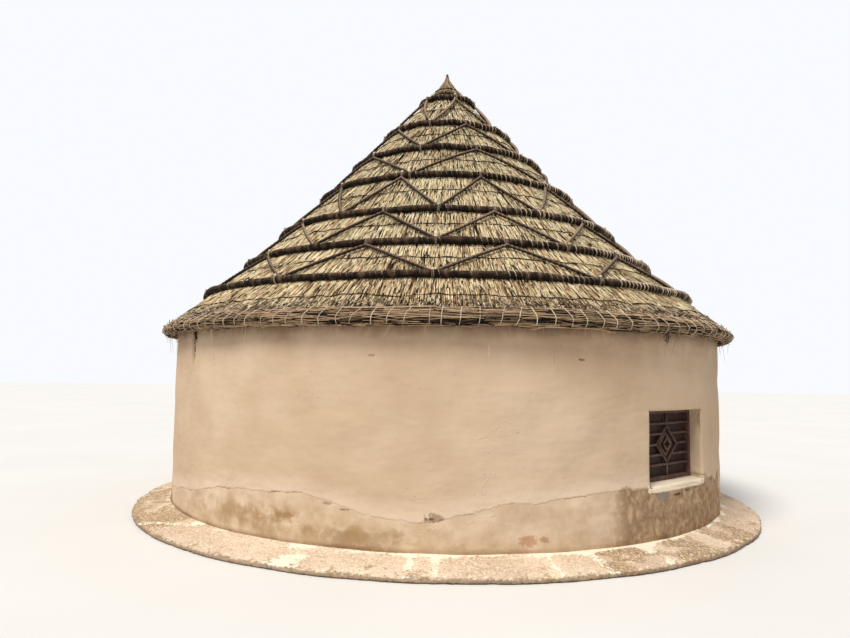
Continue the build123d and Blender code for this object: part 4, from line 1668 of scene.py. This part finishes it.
@dataclass
class EaveRoll(SubAssembly):
    """The roll of grass bound to the thatch's cut end, with its ties and its stray straws."""

    tie_count: int = 145
    strand_count: int = 1900
    stray_count: int = 260
    core_steps: int = 440
    core_sides: int = 22
    # The flat on the roll's upper outer side: its distance from the middle line as a share of the
    # roll's radius, and which way it faces, in degrees above level
    flat_share: float = 0.56
    flat_facing: float = 50.0
    wobble_height: float = 0.004
    stray_radius: float = 0.0017
    long_straw_radius: float = 0.0032
    # The longest straws that hang down: azimuth, length and how far they lean sideways
    long_straws: Rows = (
        (-39.2, 0.30, 0.14), (-31.2, 0.20, 0.01), (15.6, 0.30, 0.00), (37.8, 0.17, 0.04),
        (38.4, 0.15, -0.03), (39.0, 0.19, -0.07), (148.0, 0.26, 0.06), (229.0, 0.24, -0.05),
    )

    def __post_init__(self) -> None:
        """Read where the roll is from its CAD node."""
        low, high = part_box("eave_roll")
        self.thick = self.sizes.roll_radius
        self.radius = float(high.x) - self.thick
        self.height = float(low.z + high.z) / 2
        self.rng = np.random.default_rng(SEED + 71)
        self.wobble = Ripples(74, 16)

    def place(self, azimuth: Array, angle: Array, radius: Array) -> Array:
        """Points off the roll's middle line: radius × (cos angle outwards, sin angle upwards)."""
        height = self.height + self.wobble_height * self.wobble(azimuth) + radius * np.sin(np.radians(angle))
        return around(azimuth, self.radius + radius * np.cos(np.radians(angle)), height)

    @staticmethod
    def facing(azimuth: Array, angle: Array) -> Array:
        """The directions away from the roll's middle line."""
        return around(azimuth, np.cos(np.radians(angle)), np.sin(np.radians(angle)))

    def reach(self, angle: Array) -> Array:
        """The roll's radius, blended with the distance to its flat: share / cos(angle - facing)."""
        plane = self.flat_share / np.maximum(np.cos(np.radians(angle - self.flat_facing)), 0.2)
        return self.thick * (1 + plane**-10.0) ** -0.1

    def core(self, surface: Surface) -> None:
        """The roll's body: its radius is its reach × (0.95 + 0.03 × ripples along its length).

        Args:
            surface: what it is added to.
        """
        azimuth = all_round(self.core_steps)
        angle = 360 * np.arange(self.core_sides) / self.core_sides
        ridges = Ripples(72, 16, 9.0, 40)(azimuth[:, None], angle[None] / 40)
        radii = self.reach(90 - angle) * (0.95 + 0.030 * ridges)
        path = self.place(azimuth, 0.0, 0.0)[None]
        tone = 0.20 + 0.1 * Ripples(73, 80)(azimuth)
        outward = self.facing(azimuth, 90.0)[None]
        surface.tubes(path, outward, radii[None], self.core_sides, True, tone[None])

    def strands(self, surface: Surface) -> None:
        """Long grass stems that lie along the roll and wave up and down over it.

        A stem's angle is a start + a drift × share + a sine wave of a few degrees.

        Args:
            surface: what they are added to.
        """
        rng, count, steps = self.rng, self.strand_count, 7
        even, spread = column_draws(rng, count)
        share = np.linspace(0, 1, steps)[None]
        azimuth = even(0, 360) + even(6.0, 15.0) * share
        waves = even(0.5, 1.6) * share + rng.random((count, 1))
        angle = even(-125, 120) + spread(0, 20) * share
        angle = angle + even(3, 10) * np.sin(2 * np.pi * waves)
        loose = rng.random((count, 1)) < 0.15
        ends = np.where(loose, 0.016, 0.003) * np.abs(spread(0, 1))
        ends = ends * (2 * np.abs(share - 0.5)) ** 4
        lift = self.reach(angle) + even(-0.005, 0.0025) + ends
        radii = even(0.0022, 0.0048) * np.ones((1, steps))
        tone = np.where(rng.random((count, 1)) < 0.42, 0.02, 0.86) + 0.20 * spread()
        # Painted shade: stems on the roll's underside are painted darker and those on its top paler
        tone = tone + 0.14 * np.sin(np.radians(angle))
        surface.tubes(self.place(azimuth, angle, lift), self.facing(azimuth, angle), radii, 3, tone=tone)

    def ties(self, surface: Surface) -> None:
        """Cream cords over the roll, each from the thatch above it round to its underside.

        Args:
            surface: what they are added to.
        """
        rng, count = self.rng, self.tie_count
        even, spread = column_draws(rng, count)
        top, bottom = 118, -112
        angle = np.linspace(top, bottom, 15)[None]
        azimuth = 360 * np.arange(count)[:, None] / count + spread(0, 0.20)
        lean = 0.35 - 1.3 * np.sin(np.radians(azimuth)) + spread(0, 0.28)
        azimuth = azimuth + lean * angle / top
        angle = angle + 0 * azimuth
        lift = self.reach(angle) + 0.004 + 0.0012 * rng.normal(size=azimuth.shape)
        lift = lift - 0.012 * smooth_step(-angle, 50, 95)
        radii = even(0.0030, 0.0044) * np.ones((1, 15))
        # Painted shade: the ties are painted darker towards the roll's underside and paler on its top
        tone = spread(0.66, 0.14) + 0.10 * np.sin(np.radians(angle))
        surface.tubes(self.place(azimuth, angle, lift), self.facing(azimuth, angle), radii, 5, tone=tone)

    def strays(self, surface: Surface) -> None:
        """Straws that have worked loose and hang from the roll's underside.

        Args:
            surface: what they are added to.
        """
        rng, count = self.rng, self.stray_count
        even, spread = column_draws(rng, count)
        share = np.linspace(0, 1, 6)[None]
        longest = np.array(self.long_straws)
        length = even(0.03, 0.13) * rng.choice([1, 1, 1, 1.6], (count, 1))
        azimuth = np.concatenate([even(0, 360), longest[:, :1]])
        length = np.concatenate([length, longest[:, 1:2]])
        lean = np.concatenate([spread(0, 0.027), longest[:, 2:]])
        angle = rng.uniform(-110, -50, azimuth.shape)
        away = unit(self.facing(azimuth, angle) * 0.35 + np.array([0.0, 0.0, -0.75]))[:, None, 0]
        side = around(azimuth + 90, 1.0, 0.0)
        paths = self.place(azimuth, angle, self.thick - 0.002) + away * (length * share)[..., None]
        paths = paths + side * (lean * share)[..., None]
        bend = rng.normal(0.0, 0.02, azimuth.shape) * share**1.5
        paths = paths + around(azimuth, 1.0, 0.0) * bend[..., None]
        thick = np.where(np.arange(len(azimuth)) < count, self.stray_radius, self.long_straw_radius)
        radii = thick[:, None] * (1 - 0.5 * share)
        surface.tubes(paths, np.broadcast_to(side, paths.shape), radii, 3, tone=0.62)

    def build(self) -> None:
        """Make the roll and what is on it."""
        assemble("grass_roll", Slot.GRASS_ROLL, self.finishes.roll, self.core, replaces=("eave_roll",))
        assemble("roll_strands", Slot.GRASS_ROLL, self.finishes.roll, self.strands)
        assemble("roll_ties", Slot.STRAW, self.finishes.pale_cord, self.ties)
        assemble("stray_straws", Slot.STRAW, self.finishes.straw, self.strays)


@dataclass
class ApexTuft(SubAssembly):
    """The pointed tuft of straw on the crown, bound at its foot with a row of dark knots."""

    # The tuft's outline: radius and height above the crown
    outline: Pairs = (
        (0.175, 0.000), (0.146, 0.045), (0.112, 0.100), (0.080, 0.148),
        (0.046, 0.192), (0.024, 0.232), (0.014, 0.270), (0.006, 0.303),
    )
    knot_height: float = 0.046
    cord_radius: float = 0.0065
    straw_count: int = 620
    flare_count: int = 300
    knot_count: int = 15

    def __post_init__(self) -> None:
        """Note where the crown is."""
        self.foot = float(THATCH.height(self.sizes.crown_radius))
        self.rng = np.random.default_rng(SEED + 91)

    def radius_at(self, height: Array) -> Array:
        """The outline's radius at a height, whose logarithm runs evenly between the outline's points."""
        radii, heights = np.array(self.outline).T
        return np.exp(np.interp(height, heights, np.log(radii)))

    def body(self, surface: Surface) -> None:
        """The tuft's core: the outline's radius × (0.93 + 0.04 × ripples).

        Args:
            surface: what it is added to.
        """
        height = np.linspace(0, self.outline[-1][1], 22)[:, None]
        azimuth = all_round(40)[None]
        radius = self.radius_at(height) * (0.93 + 0.04 * Ripples(92, 14, 2.0)(azimuth, height))
        surface.turned(around(azimuth, radius, self.foot + height))

    def straws(self, surface: Surface) -> None:
        """Straws that follow the outline up towards the tip, darker as they near it.

        Args:
            surface: what they are added to.
        """
        rng, count, steps = self.rng, self.straw_count, 8
        even, spread = column_draws(rng, count)
        share = np.linspace(0, 1, steps)[None]
        tip = self.outline[-1][1]
        start = even(-0.02, 0.20)
        end = start + even(0.06, 0.17)
        end = np.minimum(end, tip + even(-0.01, 0.008))
        height = start + (end - start) * share
        azimuth = even(0, 360) + spread(0, 9) * share
        fray = np.abs(spread(0, 0.0045)) * share**3
        radius = self.radius_at(np.clip(height, 0, None)) + even(-0.002, 0.003) + fray
        radii = even(0.0013, 0.0026) * (1 - 0.5 * share)
        tone = 0.50 + 0.28 * spread()
        tone = tone - 0.55 * smooth_step(height, tip - 0.055, tip - 0.01)
        paths = around(azimuth, radius, self.foot + height)
        surface.tubes(paths, around(azimuth, 1.0, 0.4), radii, 3, tone=tone)

    def flare(self, surface: Surface) -> None:
        """Short straws at the foot that lean out over the cord.

        Args:
            surface: what they are added to.
        """
        rng, count = self.rng, self.flare_count
        even, spread = column_draws(rng, count)
        share = np.linspace(0, 1, 5)[None]
        azimuth = even(0, 360) + spread(0, 3) * share
        high = even(0.02, 0.06)
        radius = self.radius_at(high) + even(0.045, 0.085) * share**1.3
        height = self.foot + high * (1 - share) - even(0.0, 0.03) * share
        radii = 0.0022 * (1 - 0.4 * share) + 0 * azimuth
        tone = 0.62 + 0.26 * spread()
        surface.tubes(around(azimuth, radius, height), around(azimuth, 0.6, 0.8), radii, 3, tone=tone)

    def knots(self, surface: Surface) -> None:
        """A dark cord round the foot and a row of short dark knots on it.

        Args:
            surface: what they are added to.
        """
        rng, count = self.rng, self.knot_count
        even, spread = column_draws(rng, count)
        steps = 72
        azimuth = all_round(steps)
        wave = 0.003 * np.sin(np.radians(7 * azimuth))
        girth, level = float(self.radius_at(self.knot_height)), self.foot + self.knot_height
        path = around(azimuth, girth + 0.003, level + wave)[None]
        radii = np.full((1, steps), self.cord_radius)
        surface.tubes(path, around(azimuth, 1.0, 0.3)[None], radii, 6, True, 0.4)
        middle = 360 * np.arange(count)[:, None] / count + spread(0, 4)
        along = np.linspace(-1, 1, 7)[None]
        lean = spread(0, 3) * along
        tall = even(0.015, 0.023)
        paths = around(middle + lean, girth + 0.009 - 0.007 * along, level + tall * along)
        swell = even(0.009, 0.013) * np.sqrt(np.maximum(1 - along**2, 0.05))
        surface.tubes(paths, around(middle, 1.0, 0.0) + 0 * paths, swell, 7, tone=0.25)

    def build(self) -> None:
        """Make the tuft."""
        straws, replaced = (self.body, self.straws, self.flare), ("apex_tuft",)
        assemble("straw_tuft", Slot.STRAW, self.finishes.straw, *straws, smooth=False, replaces=replaced)
        assemble("tuft_knots", Slot.GRASS_ROPE, self.finishes.dark_cord, self.knots, replaces=("tuft_cord",))


@dataclass
class WindowGrille(SubAssembly):
    """The bars over one window's panel: level bars, a middle bar and a diamond between them."""

    name: str
    azimuth: float
    bar_width: float = 0.020
    bar_depth: float = 0.018
    # How far down the opening each level bar is
    level_shares: tuple[float, ...] = (0.203, 0.347, 0.494, 0.640, 0.780)
    diamond_share: float = 0.496
    diamond_half_width: float = 0.172
    diamond_half_height: float = 0.166
    # How far the pattern's middle is to the right of the window's, and how far behind its frame's face
    middle_shift: float = 0.035
    face_depth: float = 0.004
    # The diamonds inside one another: their size as a share of the outer one, and their shift sideways
    nested: Pairs = ((1.0, 0.0), (0.62, -0.040), (0.34, 0.012))

    def __post_init__(self) -> None:
        """Work out the window's clear opening inside its frame."""
        sizes = self.sizes
        self.half_width = sizes.window_width / 2 - sizes.window_frame_width
        self.bottom = sizes.sill_back_height + sizes.window_frame_width
        self.top = sizes.window_top - sizes.window_frame_width

    def place(self, across: Array, height: Array) -> Array:
        """Points on the grille's plane.

        Args:
            across: the distance to the side of the window's middle.
            height: the height above the ground.

        Returns:
            The points.
        """
        outward = around(self.azimuth, 1.0, 0.0)
        side = around(self.azimuth + 90, 1.0, 0.0)
        depth = self.sizes.window_setback + self.face_depth + self.bar_depth / 2
        middle = outward * (self.sizes.wall_radius - depth)
        return middle + side * across[:, None] + np.array([0.0, 0.0, 1.0]) * height[:, None]

    def lines(self) -> Array:
        """The bars' middle lines: level ones that stop at the diamond, the middle one and the diamonds.

        Returns:
            Rows of (across, height, across, height).
        """
        full = self.sizes.window_top - self.sizes.sill_back_height
        middle = self.sizes.window_top - self.diamond_share * full
        wide, tall = self.diamond_half_width, self.diamond_half_height
        found = []
        centre = self.middle_shift
        for share in self.level_shares:
            height = self.sizes.window_top - share * full
            clear = wide * max(0.0, 1 - abs(height - middle) / tall)
            if clear > 0:
                found.append((-self.half_width, height, centre - clear, height))
                found.append((centre + clear, height, self.half_width, height))
            else:
                found.append((-self.half_width, height, self.half_width, height))
        found.append((centre, self.top, centre, middle + tall))
        found.append((centre, middle - tall, centre, self.bottom))
        for scale, shift in self.nested:
            corners = [(shift, tall), (wide + shift, 0), (shift, -tall), (shift - wide, 0)]
            corners = [(centre + x * scale, middle + y * scale) for x, y in corners]
            for (x0, y0), (x1, y1) in zip(corners, corners[1:] + corners[:1]):
                found.append((x0, y0, x1, y1))
        return np.array(found)

    def build(self) -> None:
        """Make the bars."""
        surface = Surface()
        lines = self.lines()
        starts, ends = self.place(lines[:, 0], lines[:, 1]), self.place(lines[:, 2], lines[:, 3])
        surface.bars(starts, ends, around(self.azimuth, 1.0, 0.0), self.bar_width, self.bar_depth)
        surface.build(self.name, Slot.DARK_TIMBER, self.finishes.bar_timber, smooth=False)


@dataclass
class FrameFinish:
    """The materials of the CAD nodes that stay in sight."""

    nodes: dict[str, bpy.types.Object]
    finishes: Finishes

    def __post_init__(self) -> None:
        """Note which material goes with the first of these words that is in a node's name."""
        finishes = self.finishes
        self.by_word = {
            "wall_plate": finishes.pole_timber,
            "wall_": finishes.inner_plaster,
            "floor_screed": finishes.screed,
            "door_threshold": finishes.screed,
            "door_frame": finishes.door_timber,
            "window_sill": finishes.sill_plaster,
            "window_frame": finishes.bar_timber,
            "window_panel": finishes.dark_timber,
            "rafters": finishes.pole_timber,
            "laths": finishes.pole_timber,
            "roof_hub": finishes.pole_timber,
            "thatch": finishes.straw_bed,
        }

    def apply(self) -> None:
        """Give each node its material."""
        for name, node in self.nodes.items():
            found = [finish for word, finish in self.by_word.items() if word in name]
            if found:
                node.data.materials.clear()
                node.data.materials.append(found[0])


@dataclass(frozen=True)
class Studio:
    """The pale floor, the soft light and the camera at the photograph's angle."""

    # The camera stands on -Y. Its turns are in degrees and its focal length is in the image's pixels
    camera_distance: float = 8.392
    camera_height: float = 1.508
    camera_pitch: float = 4.81
    camera_roll: float = 0.81
    camera_yaw: float = -1.72
    focal_pixels: float = 650.0
    image_width: float = 850.0
    sensor_width: float = 36.0
    sight_limit: float = 500.0
    # The key light's strength, how many degrees across it is, its colour and its turn
    key_strength: float = 2.8
    key_softness: float = 22.0
    key_tint: tuple[float, float, float] = (1.0, 0.97, 0.92)
    key_turn: tuple[float, float, float] = (36.0, 0.0, -32.0)
    # The sky's strength on the hut, and its colour. The camera sees it at a strength of 1
    sky_strength: float = 0.58
    sky_tint: tuple[float, float, float, float] = (0.94, 0.96, 1.0, 1.0)
    floor_reach: float = 60.0
    floor_clouds: tuple[Stop, Stop] = ((0.3, (226, 224, 220)), (0.7, (230, 228, 224)))

    def camera(self) -> None:
        """The camera, turned by its yaw, tipped by its pitch and rolled."""
        pitch, roll, yaw = np.radians([self.camera_pitch, self.camera_roll, self.camera_yaw])
        turns = ((-yaw, "Z"), (np.pi / 2 + pitch, "X"), (roll, "Z"))
        matrix = Matrix.Translation((0.0, -self.camera_distance, self.camera_height))
        for turn, axis in turns:
            matrix = matrix @ Matrix.Rotation(turn, 4, axis)
        data = bpy.data.cameras.new("camera")
        data.sensor_width = self.sensor_width
        data.lens = self.focal_pixels * self.sensor_width / self.image_width
        data.clip_end = self.sight_limit
        camera = bpy.data.objects.new("camera", data)
        camera.matrix_world = matrix
        bpy.context.scene.collection.objects.link(camera)
        bpy.context.scene.camera = camera

    def lights(self) -> None:
        """A soft high key light from the front left and a pale sky all round."""
        data = bpy.data.lights.new("key", "SUN")
        data.energy = self.key_strength
        data.angle = np.radians(self.key_softness)
        data.color = self.key_tint
        key = bpy.data.objects.new("key", data)
        key.rotation_euler = np.radians(self.key_turn)
        bpy.context.scene.collection.objects.link(key)
        world = bpy.data.worlds.new("studio")
        world.use_nodes = True
        tree = world.node_tree
        background = tree.nodes["Background"]
        background.inputs["Color"].default_value = self.sky_tint
        path = tree.nodes.new("ShaderNodeLightPath")
        strength = tree.nodes.new("ShaderNodeMapRange")
        strength.inputs["To Min"].default_value = self.sky_strength
        strength.inputs["To Max"].default_value = 1.0
        tree.links.new(path.outputs["Is Camera Ray"], strength.inputs["Value"])
        tree.links.new(strength.outputs[0], background.inputs["Strength"])
        bpy.context.scene.world = world

    def floor(self) -> None:
        """A pale floor under the plinth."""
        reach = self.floor_reach
        mesh = bpy.data.meshes.new("floor")
        corners = [(-reach, -reach, 0), (reach, -reach, 0), (reach, reach, 0), (-reach, reach, 0)]
        mesh.from_pydata(corners, [], [(0, 1, 2, 3)])
        g = Graph("studio_floor", 0.9, 0.1)
        mesh.materials.append(g.done(g.ramp(g.noise(0.4, 2.0), *self.floor_clouds)))
        floor = bpy.data.objects.new("floor", mesh)
        bpy.context.scene.collection.objects.link(floor)

    def build(self) -> None:
        """Set up the studio."""
        self.camera()
        self.lights()
        self.floor()
        bpy.context.scene.view_settings.view_transform = "Standard"


def main() -> None:
    """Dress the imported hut."""
    logging.basicConfig(level=logging.INFO, format="%(name)s %(message)s")
    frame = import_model()
    finishes = Finishes()
    FrameFinish(frame["nodes"], finishes).apply()
    for part in (PlasterCoat, RoughPlinth, StrawBed, ReedCoat, Bindings, EaveRoll, ApexTuft):
        part(SIZES, finishes).build()
    for name, azimuth in zip(("front_grille", "back_grille"), SIZES.window_azimuths):
        WindowGrille(SIZES, finishes, name, azimuth).build()
    Studio().build()


if __name__ == "__main__":
    main()
